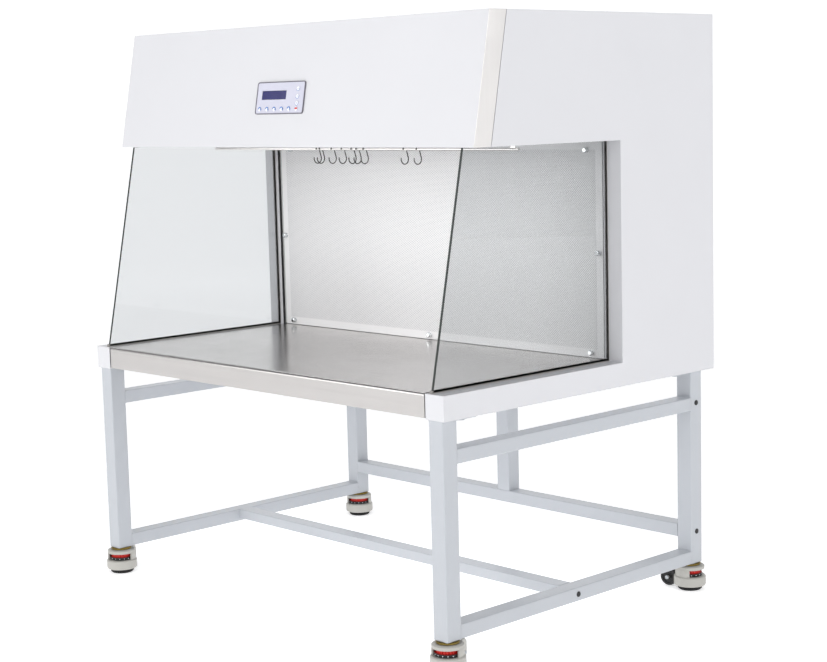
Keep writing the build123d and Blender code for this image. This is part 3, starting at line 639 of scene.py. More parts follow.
@dataclass(frozen=True)
class CircuitBoard(Finish):
    """Solder-masked board. Glossy green with the lighter lines of its tracks."""

    track_mm: float = 4.0

    def build(self) -> bpy.types.Material:
        """Makes the material.

        Returns:
            The finished material.
        """
        tree, place = self.start()
        settings = {"Scale": per_metre(self.track_mm), "Mortar Size": 0.06}
        settings |= {"Color1": linear("#0f4a2c"), "Color2": linear("#11502f"), "Mortar": linear("#2f7a4d")}
        tracks = add_node(tree, "ShaderNodeTexBrick", settings, {"Vector": place})
        links = {
            "Base Color": tracks.outputs["Color"],
            "Roughness": self.spread(tree, tracks.outputs["Fac"], (0.0, 1.0), (0.3, 0.4)),
        }
        return self.close(tree, {"IOR": 1.5}, links)


@dataclass(frozen=True)
class StudioFloor(Finish):
    """Seamless paper. Matt and almost white, with no grain to see at this distance."""

    fibre_mm: float = 40.0
    glow: float = 0.5

    def build(self) -> bpy.types.Material:
        """Makes the material.

        Returns:
            The finished material.
        """
        tree, place = self.start()
        fibres = self.cloud(tree, place, self.fibre_mm)
        links = {"Base Color": self.between(tree, fibres, "#fbfbfb", "#fdfdfd")}
        settings = {"Roughness": 0.9, "Specular IOR Level": 0.1, "Emission Color": linear("#ffffff"),
                    "Emission Strength": self.glow}
        return self.close(tree, settings, links)


class Palette:
    """Every finish of the bench, made once and handed out by name."""

    def __init__(self, plate_low: Point, plate_high: Point, lamp_half: float, uv_half: float) -> None:
        """Makes the finishes.

        Args:
            plate_low: Lowest corner of the diffuser plate.
            plate_high: Highest corner of the diffuser plate.
            lamp_half: Half length of the lamp tube.
            uv_half: Half length of the germicidal tube.
        """
        ink = {"roughness": 0.4, "grain_mm": 0.5, "depth_mm": 0.004, "edge_mm": 0.1}
        finishes = [
            Paint("cabinet_powder_coat", Slot.CABINET, "#dddde0", "#d9d9dc"),
            Paint("stand_epoxy_paint", Slot.STAND, "#c3c6cb", "#bcc0c5", roughness=0.33, edge_mm=2.0),
            BrushedSteel("worktop_brushed_stainless", Slot.STAINLESS, "#cbc8c6", "#bdbab8", Grain.ALONG_X,
                         roughness=0.22, depth_mm=0.002),
            # the trim's near-white steel is a lit copy of the worktop's stainless: painted reflection for the
            # bright sheen it shows
            BrushedSteel("trim_stainless_painted_reflection", Slot.STAINLESS, "#f3f0ee", "#eae7e4", Grain.ALONG_Z,
                         roughness=0.34),
            # the hooks' near-black steel is a shaded copy of the worktop's stainless: painted shade for the
            # dark reflection they show
            PlatedMetal("wire_stainless_painted_shade", Slot.STAINLESS, "#54524f", "#3c3a38", roughness=0.2),
            FloatGlass("pane_float_glass", Slot.GLASS),
            GroundEdge("pane_ground_edge", Slot.GLASS),
            PerforatedSheet("diffuser_perforated_sheet", Slot.DIFFUSER, plate_low, plate_high),
            PlatedMetal("knob_chrome_plate", Slot.CHROME, "#e9ebec", "#d5d8da", roughness=0.07),
            Plastic("seal_moulded_rubber", Slot.SEAL, "#a3a19d", "#94918d", roughness=0.62, ior=1.5),
            Plastic("plug_moulded_polyethylene", Slot.PLUG, "#161617", "#0f0f10", roughness=0.4),
            PlatedMetal("bolt_bright_zinc", Slot.BOLT, "#c2c6c9", "#a4a9ad", roughness=0.3, mottle_mm=3.0),
            PlatedMetal("plate_yellow_zinc", Slot.ZINC, "#96824a", "#655627", roughness=0.3, mottle_mm=5.0),
            Paint("housing_baked_enamel", Slot.HOUSING, "#bfbdb7", "#b3b1aa", roughness=0.42, edge_mm=1.0),
            Plastic("wheel_moulded_nylon", Slot.WHEEL, "#1b1b1c", "#131314", roughness=0.42, ior=1.53),
            TwoToneDial("dial_moulded_abs", Slot.DIAL),
            Plastic("pad_moulded_rubber", Slot.PAD, "#0f0f10", "#0a0a0b", roughness=0.7, grain_mm=1.2,
                    depth_mm=0.05, edge_mm=1.0, ior=1.5),
            PlatedMetal("frame_extruded_aluminium", Slot.ALUMINIUM, "#cdd0d2", "#bcc0c3", roughness=0.32,
                        mottle_mm=12.0),
            PleatedMedia("media_glass_fibre", Slot.MEDIA),
            Plastic("gasket_foam_rubber", Slot.FOAM, "#6a6c6e", "#55575a", roughness=0.9, grain_mm=1.5,
                    depth_mm=0.4),
            Plastic("gasket_pale_foam", Slot.FOAM, "#cfd0ce", "#c2c3c1", roughness=0.85, grain_mm=1.5,
                    depth_mm=0.2),
            Galvanised("duct_galvanised_sheet", Slot.GALVANISED),
            Paint("motor_stove_enamel", Slot.MOTOR, "#1f2124", "#17191b", roughness=0.45),
            OpalTube("lamp_opal_glass", Slot.LAMP, lamp_half),
            OpalTube("uv_opal_glass", Slot.LAMP, uv_half),
            CircuitBoard("board_solder_mask", Slot.BOARD),
            Plastic("overlay_printed_film", Slot.OVERLAY, "#d3d3e1", "#cbcbdb", roughness=0.34, grain_mm=0.5,
                    depth_mm=0.006, edge_mm=0.5),
            Plastic("print_white_ink", Slot.OVERLAY, "#fbfbfd", "#f1f1f5", **ink),
            Plastic("print_blue_ink", Slot.OVERLAY, "#3f7cc8", "#3068b4", **ink),
            Plastic("print_red_ink", Slot.OVERLAY, "#d83a3a", "#c42a2e", **ink),
            # the bezel's dark grey is painted shade for the shadow along the panel's edge
            Plastic("bezel_painted_shade_grey", Slot.SEAL, "#77757f", "#66646f", roughness=0.5, ior=1.5),
            CellDisplay("display_liquid_crystal", Slot.DISPLAY),
            StudioFloor("studio_paper", Slot.CABINET),
        ]
        self._slots = {finish.name: finish.slot.value for finish in finishes}
        self._materials = {finish.name: finish.build() for finish in finishes}

    def material(self, name: str) -> bpy.types.Material:
        """Material of a finish."""
        return self._materials[name]

    def slot(self, name: str) -> str:
        """Record slot of a finish."""
        return self._slots[name]


# ---------------------------------------------------------------- mesh helpers
def prism(bm: bmesh.types.BMesh, outline: list[Flat], depth: float, where: Matrix) -> None:
    """Adds a closed plate with a flat outline.

    Args:
        bm: Mesh that gets the plate.
        outline: Corners in order, counter-clockwise seen against the plate's normal.
        depth: Thickness along the local z axis.
        where: Place of the outline's own frame.
    """
    low = [bm.verts.new(where @ Vector((u, v, 0.0))) for u, v in outline]
    high = [bm.verts.new(where @ Vector((u, v, depth))) for u, v in outline]
    count = len(outline)
    bm.faces.new(low[::-1])
    bm.faces.new(high)
    for i in range(count):
        j = (i + 1) % count
        bm.faces.new((low[i], low[j], high[j], high[i]))


def band(bm: bmesh.types.BMesh, outer: list[Flat], inner: list[Flat], depth: float, where: Matrix) -> None:
    """Adds a closed plate between two outlines with the same number of corners.

    Args:
        bm: Mesh that gets the plate.
        outer: Outer corners in order.
        inner: Inner corners in the same order.
        depth: Thickness along the local z axis.
        where: Place of the outlines' own frame.
    """
    rings = [
        [bm.verts.new(where @ Vector((u, v, height))) for u, v in outline]
        for outline, height in ((outer, 0.0), (outer, depth), (inner, depth), (inner, 0.0))
    ]
    count = len(outer)
    for near, far in zip(rings, rings[1:] + rings[:1]):
        for i in range(count):
            j = (i + 1) % count
            bm.faces.new((near[i], near[j], far[j], far[i]))


def strip(bm: bmesh.types.BMesh, outer: list[Flat], inner: list[Flat], depth: float, where: Matrix) -> None:
    """Adds a closed plate along two open lines with the same number of points.

    Args:
        bm: Mesh that gets the plate.
        outer: Points of one long side.
        inner: Points of the other long side.
        depth: Thickness along the local z axis.
        where: Place of the lines' own frame.
    """
    prism(bm, outer + inner[::-1], depth, where)


def lathe(bm: bmesh.types.BMesh, profile: list[Flat], steps: int, where: Matrix) -> None:
    """Adds a turned form.

    Args:
        bm: Mesh that gets the form.
        profile: Radius and height from the lower end to the upper, with both ends on the axis.
        steps: Facets round the axis.
        where: Place of the axis, which is local z.
    """
    rings = []
    for radius, height in profile:
        if radius == 0:
            rings.append([bm.verts.new(where @ Vector((0.0, 0.0, height)))])
            continue
        turns = [2 * pi * i / steps for i in range(steps)]
        ring = [Vector((radius * cos(a), radius * sin(a), height)) for a in turns]
        rings.append([bm.verts.new(where @ point) for point in ring])
    for near, far in zip(rings, rings[1:]):
        for i in range(steps):
            j = (i + 1) % steps
            if len(near) == 1:
                bm.faces.new((near[0], far[j], far[i]))
            elif len(far) == 1:
                bm.faces.new((near[i], near[j], far[0]))
            else:
                bm.faces.new((near[i], near[j], far[j], far[i]))


def arc(radius: float, start: float, end: float, steps: int, centre: Flat = (0.0, 0.0)) -> list[Flat]:
    """Points on a circle.

    Args:
        radius: Radius of the circle.
        start: First angle in degrees.
        end: Last angle in degrees.
        steps: Number of chords.
        centre: Middle of the circle.

    Returns:
        The points, both ends included.
    """
    turns = [radians(start + (end - start) * i / steps) for i in range(steps + 1)]
    return [(centre[0] + radius * cos(a), centre[1] + radius * sin(a)) for a in turns]


def rounded(width: float, height: float, radius: float, steps: int = 6) -> list[Flat]:
    """Rectangle with rounded corners about the origin.

    Args:
        width: Full width.
        height: Full height.
        radius: Corner radius.
        steps: Chords in each corner.

    Returns:
        The corners, counter-clockwise.
    """
    u, v = width / 2 - radius, height / 2 - radius
    corners = [((u, v), 0), ((-u, v), 90), ((-u, -v), 180), ((u, -v), 270)]
    return [point for centre, turn in corners for point in arc(radius, turn, turn + 90, steps, centre)]


def facing(origin: Point, across: Point, outward: Point) -> Matrix:
    """Frame of a surface.

    Args:
        origin: Its zero point.
        across: Direction of the local x axis.
        outward: Direction of the local z axis.

    Returns:
        The matrix from the surface's frame to the part's.
    """
    z = Vector(outward).normalized()
    x = Vector(across).normalized()
    y = z.cross(x)
    turn = Matrix((x, y, z)).transposed().to_4x4()
    return Matrix.Translation(Vector(origin)) @ turn


@dataclass
class Assembly:
    """A sub-assembly that dresses its CAD nodes and adds its own pieces."""

    frame: dict
    palette: Palette

    def dress(self, finish: str, *nodes: str) -> None:
        """Gives CAD nodes their finish.

        Args:
            finish: Name of the finish.
            nodes: Names of the CAD nodes.
        """
        material = self.palette.material(finish)
        for name in nodes:
            piece = self.frame["nodes"][name]
            if not piece.material_slots:
                piece.data.materials.append(material)
            for slot in piece.material_slots:
                slot.material = material
            LOG.info("dressed %s in %s", name, finish)

    def add(
        self, name: str, bm: bmesh.types.BMesh, finishes: list[str], body: str = "bench", smooth: float = 30.0
    ) -> bpy.types.Object:
        """Turns a mesh into a piece that rides a body.

        Args:
            name: Name of the piece.
            bm: The mesh, which is freed.
            finishes: Finishes in the order of the faces' material numbers.
            body: Body that carries the piece.
            smooth: Sharpest angle in degrees that is shaded smooth.

        Returns:
            The piece.
        """
        bmesh.ops.recalc_face_normals(bm, faces=bm.faces)
        for face in bm.faces:
            face.smooth = True
        for edge in bm.edges:
            if len(edge.link_faces) == 2 and edge.calc_face_angle() > radians(smooth):
                edge.smooth = False
        mesh = bpy.data.meshes.new(name)
        bm.to_mesh(mesh)
        bm.free()
        for finish in finishes:
            mesh.materials.append(self.palette.material(finish))
        piece = bpy.data.objects.new(name, mesh)
        bpy.context.scene.collection.objects.link(piece)
        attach(piece, body)
        self.palette.slot(finishes[0])
        LOG.info("added %s with %d faces", name, len(mesh.polygons))
        return piece


@dataclass
class Screw:
    """Pan-head screw with a cross recess."""

    radius: float = 0.0038
    height: float = 0.0022
    slot_width: float = 0.0011
    slot_relief: float = 0.0002
    sink: float = 0.0005
    steps: int = 20

    def build(self, bm: bmesh.types.BMesh, where: Matrix) -> None:
        """Adds the screw's head.

        Args:
            bm: Mesh that gets the head.
            where: Frame whose origin is on the clamped face and whose z axis points away from it.
        """
        dome = [(0.0, -self.sink), (self.radius, -self.sink), (self.radius, 0.35 * self.height)]
        dome += [(0.86 * self.radius, 0.8 * self.height), (0.5 * self.radius, self.height)]
        dome.append((0.0, self.height))
        lathe(bm, dome, self.steps, where)
        arm, half = 0.55 * self.radius, self.slot_width / 2
        cross = [(arm, -half), (arm, half), (half, half), (half, arm), (-half, arm), (-half, half)]
        cross += [(-arm, half), (-arm, -half), (-half, -half), (-half, -arm), (half, -arm), (half, -half)]
        top = Matrix.Translation((0.0, 0.0, self.height - self.slot_relief / 2))
        prism(bm, cross, self.slot_relief, where @ top)


# ---------------------------------------------------------------- sub-assemblies
@dataclass
class Stand(Assembly):
    """Welded tube stand with its plugs and bolts."""

    bead: float = 0.0035
    bead_ripple: float = 0.004
    bead_dip: float = 0.86  # reach of the bead between two ripples
    bead_crown: float = 0.62  # how far its middle stands out of the corner
    bead_root: float = 0.001
    bead_inset: float = 0.001
    tube: float = 0.038
    tube_corner: float = 0.003

    def seam(self, bm: bmesh.types.BMesh, start: Vector, end: Vector, out_a: Vector, out_b: Vector) -> None:
        """Adds a fillet weld with its small ripples along an inner corner.

        Args:
            bm: Mesh that gets the bead.
            start: One end of the corner line.
            end: Other end of the corner line.
            out_a: Unit direction along the first face, away from the corner.
            out_b: Unit direction along the second face, away from the corner.
        """
        count = max(4, round((end - start).length / self.bead_ripple))
        rows = []
        for i in range(count + 1):
            middle = start.lerp(end, i / count)
            reach = self.bead * (1.0 if i % 2 else self.bead_dip)
            ring = [middle - self.bead_root * (out_a + out_b), middle + reach * out_a]
            ring += [middle + self.bead_crown * reach * (out_a + out_b), middle + reach * out_b]
            rows.append([bm.verts.new(point) for point in ring])
        for near, far in zip(rows, rows[1:]):
            for i in range(4):
                j = (i + 1) % 4
                bm.faces.new((near[i], near[j], far[j], far[i]))
        bm.faces.new(rows[0])
        bm.faces.new(rows[-1][::-1])

    def rail_seams(self, bm: bmesh.types.BMesh, rail: str, leg: str) -> None:
        """Adds the beads above and below where the two rails of a node meet a leg.

        Args:
            bm: Mesh that gets the beads.
            rail: Node with the side rails.
            leg: Node of the leg.
        """
        rail_low, rail_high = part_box(rail)
        front_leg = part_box(leg)[0].y < rail_low.y
        y = rail_low.y if front_leg else rail_high.y
        away = Vector((0.0, 1.0 if front_leg else -1.0, 0.0))
        up = Vector((0.0, 0.0, 1.0))
        inset = self.tube_corner + self.bead_inset
        x_low, x_high = rail_low.x + inset, rail_high.x - inset
        for z, side in ((rail_high.z, up), (rail_high.z - self.tube, -up), (rail_low.z + self.tube, up)):
            self.seam(bm, Vector((x_low, y, z)), Vector((x_high, y, z)), away, side)

    def ground_joints(self, bm: bmesh.types.BMesh, rail: str, leg: str) -> None:
        """Fills the grooves between a leg and its rails, where the weld is ground flush.

        Args:
            bm: Mesh that gets the fills.
            rail: Node with the side rails.
            leg: Node of the leg.
        """
        low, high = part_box(rail)
        front_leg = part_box(leg)[0].y < low.y
        y, behind = (low.y, -1.0) if front_leg else (high.y, 1.0)
        reach = self.tube_corner
        for x, inward in ((low.x, 1.0), (high.x, -1.0)):
            for z in (low.z, high.z - self.tube):
                groove = [(0.0, 0.0), (inward * reach, 0.0), (0.0, behind * reach)]
                where = facing((x, y, z + 0.5 * reach), (1.0, 0.0, 0.0), (0.0, 0.0, 1.0))
                prism(bm, groove, self.tube - reach, where)

    def cross_seams(self, bm: bmesh.types.BMesh, rail: str) -> None:
        """Adds the beads on top of the ends of a tube that runs across the stand.

        Args:
            bm: Mesh that gets the beads.
            rail: Node of the tube.
        """
        low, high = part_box(rail)
        up = Vector((0.0, 0.0, 1.0))
        inset = self.tube_corner + self.bead_inset
        for x, away in ((low.x, Vector((1.0, 0.0, 0.0))), (high.x, Vector((-1.0, 0.0, 0.0)))):
            start = Vector((x, low.y + inset, high.z))
            self.seam(bm, start, Vector((x, high.y - inset, high.z)), away, up)

    def build(self) -> None:
        """Dresses the stand and adds its welds."""
        legs = [f"leg_{end}_{side}" for end in ("front", "rear") for side in ("left", "right")]
        self.dress("stand_epoxy_paint", *legs, "side_rails_left", "side_rails_right", "lower_stretcher",
                   "rear_rail", "rear_post")
        self.dress("plug_moulded_polyethylene", "frame_plugs")
        self.dress("bolt_bright_zinc", "mounting_bolts")
        bm = bmesh.new()
        for side in ("left", "right"):
            for end in ("front", "rear"):
                self.rail_seams(bm, f"side_rails_{side}", f"leg_{end}_{side}")
                self.ground_joints(bm, f"side_rails_{side}", f"leg_{end}_{side}")
        self.cross_seams(bm, "rear_rail")
        self.add("stand_weld_beads", bm, ["stand_epoxy_paint"])


@dataclass
class Casters(Assembly):
    """Four levelling casters: swivel plate, housing, wheel, dial and pad."""

    corners: tuple[str, ...] = ("front_left", "front_right", "rear_left", "rear_right")
    mark_count: int = 16
    mark_height: float = 0.0457
    mark_radius: float = 0.0012
    band_radius: float = 0.035
    cheek_face: float = 0.0191
    screw_profile: tuple[Flat, ...] = (
        (0.0, -0.0005), (0.0058, -0.0005), (0.0058, 0.0012), (0.0046, 0.0023), (0.0, 0.0027)
    )
    bar_size: Flat = (0.0084, 0.0014)
    bar_depth: float = 0.0004
    bar_height: float = 0.0024

    def dial_marks(self, corner: str, centre: Vector) -> None:
        """Adds the moulded light dots round the dial's black band.

        Args:
            corner: Which caster.
            centre: Point on the dial's axis.
        """
        bm = bmesh.new()
        for i in range(self.mark_count):
            turn = 2 * pi * i / self.mark_count
            outward = (cos(turn), sin(turn), 0.0)
            spot = (centre.x + self.band_radius * outward[0], centre.y + self.band_radius * outward[1],
                    self.mark_height)
            where = facing(spot, (-outward[1], outward[0], 0.0), outward)
            cap = [(0.0, -0.0003), (self.mark_radius, -0.0003), (self.mark_radius, 0.0002), (0.0, 0.0004)]
            lathe(bm, cap, 10, where)
        self.add(f"dial_marks_{corner}", bm, ["print_white_ink"], f"dial_{corner}")

    def axle_screws(self, corner: str) -> None:
        """Adds a slotted screw head at both ends of the wheel's axle.

        Args:
            corner: Which caster.
        """
        dial_low, dial_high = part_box(f"caster_dial_{corner}")
        wheel_low, wheel_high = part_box(f"caster_wheel_{corner}")
        centre = (dial_low + dial_high) / 2
        wheel = (wheel_low + wheel_high) / 2
        ahead = Vector((wheel.x - centre.x, wheel.y - centre.y, 0.0)).normalized()
        aside = Vector((-ahead.y, ahead.x, 0.0))
        bm = bmesh.new()
        for sign in (-1, 1):
            spot = wheel + sign * self.cheek_face * aside
            where = facing(spot, ahead, sign * aside)
            lathe(bm, list(self.screw_profile), 20, where)
            u, v = self.bar_size[0] / 2, self.bar_size[1] / 2
            bar = [(-u, -v), (u, -v), (u, v), (-u, v)]
            prism(bm, bar, self.bar_depth, where @ Matrix.Translation((0.0, 0.0, self.bar_height)))
        self.add(f"axle_screws_{corner}", bm, ["bolt_bright_zinc"], f"swivel_{corner}")

    def build(self) -> None:
        """Dresses the casters and adds their small marks."""
        self.dress("plate_yellow_zinc", "caster_stems")
        for corner in self.corners:
            self.dress("housing_baked_enamel", f"caster_housing_{corner}")
            self.dress("wheel_moulded_nylon", f"caster_wheel_{corner}")
            self.dress("dial_moulded_abs", f"caster_dial_{corner}")
            self.dress("pad_moulded_rubber", f"caster_pad_{corner}")
            low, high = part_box(f"caster_dial_{corner}")
            self.dial_marks(corner, (low + high) / 2)
            self.axle_screws(corner)


@dataclass
class Cabinet(Assembly):
    """Coated sheet cabinet with its trim strips, rear panel and roof."""

    rear_screw_pitch: float = 0.32
    rear_screw_inset: float = 0.022
    grille_screw_count: int = 4
    grille_screw_inset: float = 0.010

    def rear_screws(self) -> None:
        """Adds the screws that hold the removable rear panel."""
        low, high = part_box("rear_panel")
        inset = self.rear_screw_inset
        columns = round((high.x - low.x) / self.rear_screw_pitch)
        rows = round((high.z - low.z) / self.rear_screw_pitch)
        xs = [low.x + inset + (high.x - low.x - 2 * inset) * i / columns for i in range(columns + 1)]
        zs = [low.z + inset + (high.z - low.z - 2 * inset) * i / rows for i in range(rows + 1)]
        spots = [(x, z) for x in xs for z in zs if x in (xs[0], xs[-1]) or z in (zs[0], zs[-1])]
        bm = bmesh.new()
        for x, z in spots:
            Screw().build(bm, facing((x, high.y, z), (-1.0, 0.0, 0.0), (0.0, 1.0, 0.0)))
        self.add("rear_panel_screws", bm, ["bolt_bright_zinc"])

    def grille_screws(self) -> None:
        """Adds the screws round the intake grille."""
        low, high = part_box("intake_grille")
        inset = self.grille_screw_inset
        count = self.grille_screw_count
        head = Screw(radius=0.0035, height=0.0016)
        z = high.z - head.height
        bm = bmesh.new()
        for i in range(count):
            for y in (low.y + inset, high.y - inset):
                x = low.x + inset + (high.x - low.x - 2 * inset) * i / (count - 1)
                head.build(bm, facing((x, y, z), (1.0, 0.0, 0.0), (0.0, 0.0, 1.0)))
        self.add("intake_grille_screws", bm, ["bolt_bright_zinc"])

    def build(self) -> None:
        """Dresses the cabinet and adds its screws."""
        self.dress("cabinet_powder_coat", "side_panel_left", "side_panel_right", "hood_fascia", "base_pan",
                   "hood_ceiling", "rear_panel", "top_panel", "intake_grille")
        self.dress("trim_stainless_painted_reflection", "trim_strips")
        self.rear_screws()
        self.grille_screws()


@dataclass
class WorkZone(Assembly):
    """Worktop, side glass, diffuser and hook rail."""

    front_lean: float = 0.123  # how far the glass's front edge leans back over its height
    arris: float = 0.0006
    pane_thickness: float = 0.008
    edge_turn: float = 0.4  # least share of a face's normal that makes it a ground edge
    gasket_gap: float = 0.0003
    gasket_depth: float = 0.004

    def pane(self, side: str) -> None:
        """Adds a glass pane with ground edges, but a clear one at the rear, in place of the plain one.

        Args:
            side: left or right.
        """
        low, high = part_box(f"side_glass_{side}")
        outline = [(low.y, low.z), (high.y, low.z), (high.y, high.z), (low.y + self.front_lean, high.z)]
        start = (low.x + high.x - self.pane_thickness) / 2
        where = Matrix(((0, 0, 1, start), (1, 0, 0, 0), (0, 1, 0, 0), (0, 0, 0, 1)))
        bm = bmesh.new()
        prism(bm, outline, self.pane_thickness, where)
        bmesh.ops.bevel(bm, geom=list(bm.edges), offset=self.arris, segments=1, affect="EDGES")
        bmesh.ops.recalc_face_normals(bm, faces=bm.faces)
        for face in bm.faces:
            ground = face.normal.y < -self.edge_turn or abs(face.normal.z) > self.edge_turn
            face.material_index = int(ground)
        piece = self.add(f"glass_pane_{side}", bm, ["pane_float_glass", "pane_ground_edge"])
        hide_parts(f"side_glass_{side}")

    def gaskets(self) -> None:
        """Adds the pale foam strips that close the gaps at the ends of the diffuser plate."""
        low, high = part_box("diffuser_plate")
        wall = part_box("side_panel_right")[0].x
        width = wall - high.x - 2 * self.gasket_gap
        reach = (wall + high.x) / 2
        depth = self.gasket_depth
        bm = bmesh.new()
        for sign in (-1, 1):
            origin = (sign * reach, low.y + depth, low.z + self.gasket_gap)
            where = facing(origin, (1.0, 0.0, 0.0), (0.0, 0.0, 1.0))
            prism(bm, rounded(width, depth, 0.3 * depth), high.z - low.z - 2 * self.gasket_gap, where)
        self.add("diffuser_gaskets", bm, ["gasket_pale_foam"])

    def build(self) -> None:
        """Dresses the work zone and adds its glass."""
        self.dress("worktop_brushed_stainless", "worktop")
        self.dress("seal_moulded_rubber", "glass_seals")
        self.dress("diffuser_perforated_sheet", "diffuser_plate")
        self.dress("knob_chrome_plate", "diffuser_knobs")
        self.dress("trim_stainless_painted_reflection", "hook_rail")
        self.dress("wire_stainless_painted_shade", "s_hooks")
        self.gaskets()
        for side in ("left", "right"):
            self.pane(side)


@dataclass
class AirPath(Assembly):
    """Filter, plenum, fan and lamps inside the hood."""

    def build(self) -> None:
        """Dresses the air path and the lamps."""
        self.dress("frame_extruded_aluminium", "hepa_frame", "blower_impeller")
        self.dress("media_glass_fibre", "hepa_media", "intake_prefilter")
        self.dress("gasket_foam_rubber", "hepa_gasket")
        self.dress("duct_galvanised_sheet", "plenum_deck", "blower_housing", "lamp_reflector")
        self.dress("motor_stove_enamel", "blower_motor")
        self.dress("lamp_opal_glass", "lamp_tube")
        self.dress("uv_opal_glass", "uv_tube")


@dataclass
class ControlPanel(Assembly):
    """Operator's overlay with its bezel, printed marks and display."""

    width: float = 0.200
    height: float = 0.085
    thickness: float = 0.0025
    corner: float = 0.005
    up_slope: float = 0.1375
    lean_run: float = 0.065
    lean_rise: float = 0.337
    key_radius: float = 0.007
    key_top: float = 0.0033
    dome_gap: float = 0.0004
    dome_height: float = 0.00065
    ink_depth: float = 0.00015
    line_depth: float = 0.0002
    rim: float = 0.0025
    rim_gap: float = 0.0002
    rim_rise: float = 0.0016
    display_place: Flat = (-0.0275, 0.008)
    display_size: Flat = (0.105, 0.025)
    column: tuple[Flat, ...] = ((0.074, 0.0243), (0.074, 0.0031), (0.074, -0.0158))
    row: tuple[Flat, ...] = tuple((-0.0834 + 0.0314 * i, -0.0314) for i in range(6))
    place: Matrix = field(init=False)

    def __post_init__(self) -> None:
        """Works out the panel's own frame from the hood's slope."""
        lean = atan2(self.lean_run, self.lean_rise)
        low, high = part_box("control_panel")
        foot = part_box("hood_fascia")[0]
        y = foot.y + self.up_slope * sin(lean)
        origin = ((low.x + high.x) / 2, y, foot.z + self.up_slope * cos(lean))
        self.place = facing(origin, (1.0, 0.0, 0.0), (0.0, -cos(lean), sin(lean)))

    def raised(self, height: float) -> Matrix:
        """Panel's frame at a height above the fascia."""
        return self.place @ Matrix.Translation((0.0, 0.0, height))

    def bezel(self) -> None:
        """Adds the rim that stands round the overlay, dark grey as painted shade for the shadow along the
        panel's edge.
        """
        out, gap = 2 * self.rim, 2 * self.rim_gap
        outer = rounded(self.width + out, self.height + out, self.corner + self.rim)
        inner = rounded(self.width + gap, self.height + gap, self.corner)
        bm = bmesh.new()
        band(bm, outer, inner, self.thickness + self.rim_rise, self.raised(0.0))
        self.add("panel_bezel_painted_shade", bm, ["bezel_painted_shade_grey"])

    def keys(self) -> None:
        """Adds the white domes on the keys."""
        bm = bmesh.new()
        radius = self.key_radius - self.dome_gap
        dome = [(0.0, -0.0001), (radius, -0.0001), (radius, 0.0002), (0.8 * radius, 0.0005), (0.0, 0.0007)]
        for u, v in (*self.column, *self.row):
            lathe(bm, dome, 28, self.raised(self.key_top) @ Matrix.Translation((u, v, 0.0)))
        self.add("key_domes", bm, ["print_white_ink"])

    def marks(self) -> None:
        """Adds the printed marks on the keys: blue arches with a short head, and one red bar."""
        height = self.key_top + self.dome_height
        ink = self.ink_depth
        bm = bmesh.new()
        for u, v in self.row[:-1]:
            where = self.raised(height) @ Matrix.Translation((u, v, 0.0))
            strip(bm, arc(0.0068, 5, 175, 12), arc(0.0040, 5, 175, 12), ink, where)
            prism(bm, [(0.0024, 0.0006), (0.0054, -0.0044), (0.0084, 0.0006)], ink, where)
        for u, v in self.column:
            where = self.raised(height) @ Matrix.Translation((u, v, 0.0))
            strip(bm, arc(0.0070, 200, 380, 12), arc(0.0060, 200, 380, 12), ink, where)
            prism(bm, [(-0.0016, -0.0012), (0.0016, -0.0012), (0.0, 0.0018)], ink, where)
        self.add("key_marks_blue", bm, ["print_blue_ink"])
        bm = bmesh.new()
        u, v = self.row[-1]
        where = self.raised(height) @ Matrix.Translation((u, v + 0.0012, 0.0))
        prism(bm, rounded(0.0110, 0.0050, 0.0022), ink, where)
        self.add("key_mark_red", bm, ["print_red_ink"])

    def window(self) -> None:
        """Adds the white line round the display and the printed ramp beside it."""
        bm = bmesh.new()
        width, height = self.display_size
        where = self.raised(self.thickness) @ Matrix.Translation((*self.display_place, 0.0))
        line = rounded(width + 0.006, height + 0.006, 0.002)
        band(bm, line, rounded(width, height, 0.0004), self.line_depth, where)
        ramp = [(0.0315, -0.0037), (0.0554, -0.0037), (0.0554, 0.0214), (0.0530, 0.0190), (0.0420, 0.0080)]
        prism(bm, ramp, self.line_depth, self.raised(self.thickness))
        self.add("display_outline", bm, ["print_white_ink"])

    def build(self) -> None:
        """Dresses the panel and adds its printed pieces."""
        self.dress("overlay_printed_film", "control_panel")
        self.dress("display_liquid_crystal", "display")
        self.dress("board_solder_mask", "control_board")
        self.dress("plug_moulded_polyethylene", "power_inlet")
        self.bezel()
        self.keys()
        self.marks()
        self.window()


# ---------------------------------------------------------------- studio
@dataclass(frozen=True)
class Softbox:
    """Large area light that looks at a point."""

    name: str
    place: Point
    target: Point
    size: Flat
    watts: float

    def add(self) -> None:
        """Adds the light to the scene."""
        light = bpy.data.lights.new(self.name, "AREA")
        light.shape = "RECTANGLE"
        light.size, light.size_y = self.size
        light.energy = self.watts
        lamp = bpy.data.objects.new(self.name, light)
        lamp.location = self.place
        aim = Vector(self.target) - Vector(self.place)
        lamp.rotation_euler = aim.to_track_quat("-Z", "Y").to_euler()
        bpy.context.scene.collection.objects.link(lamp)
        LOG.info("added %s", self.name)


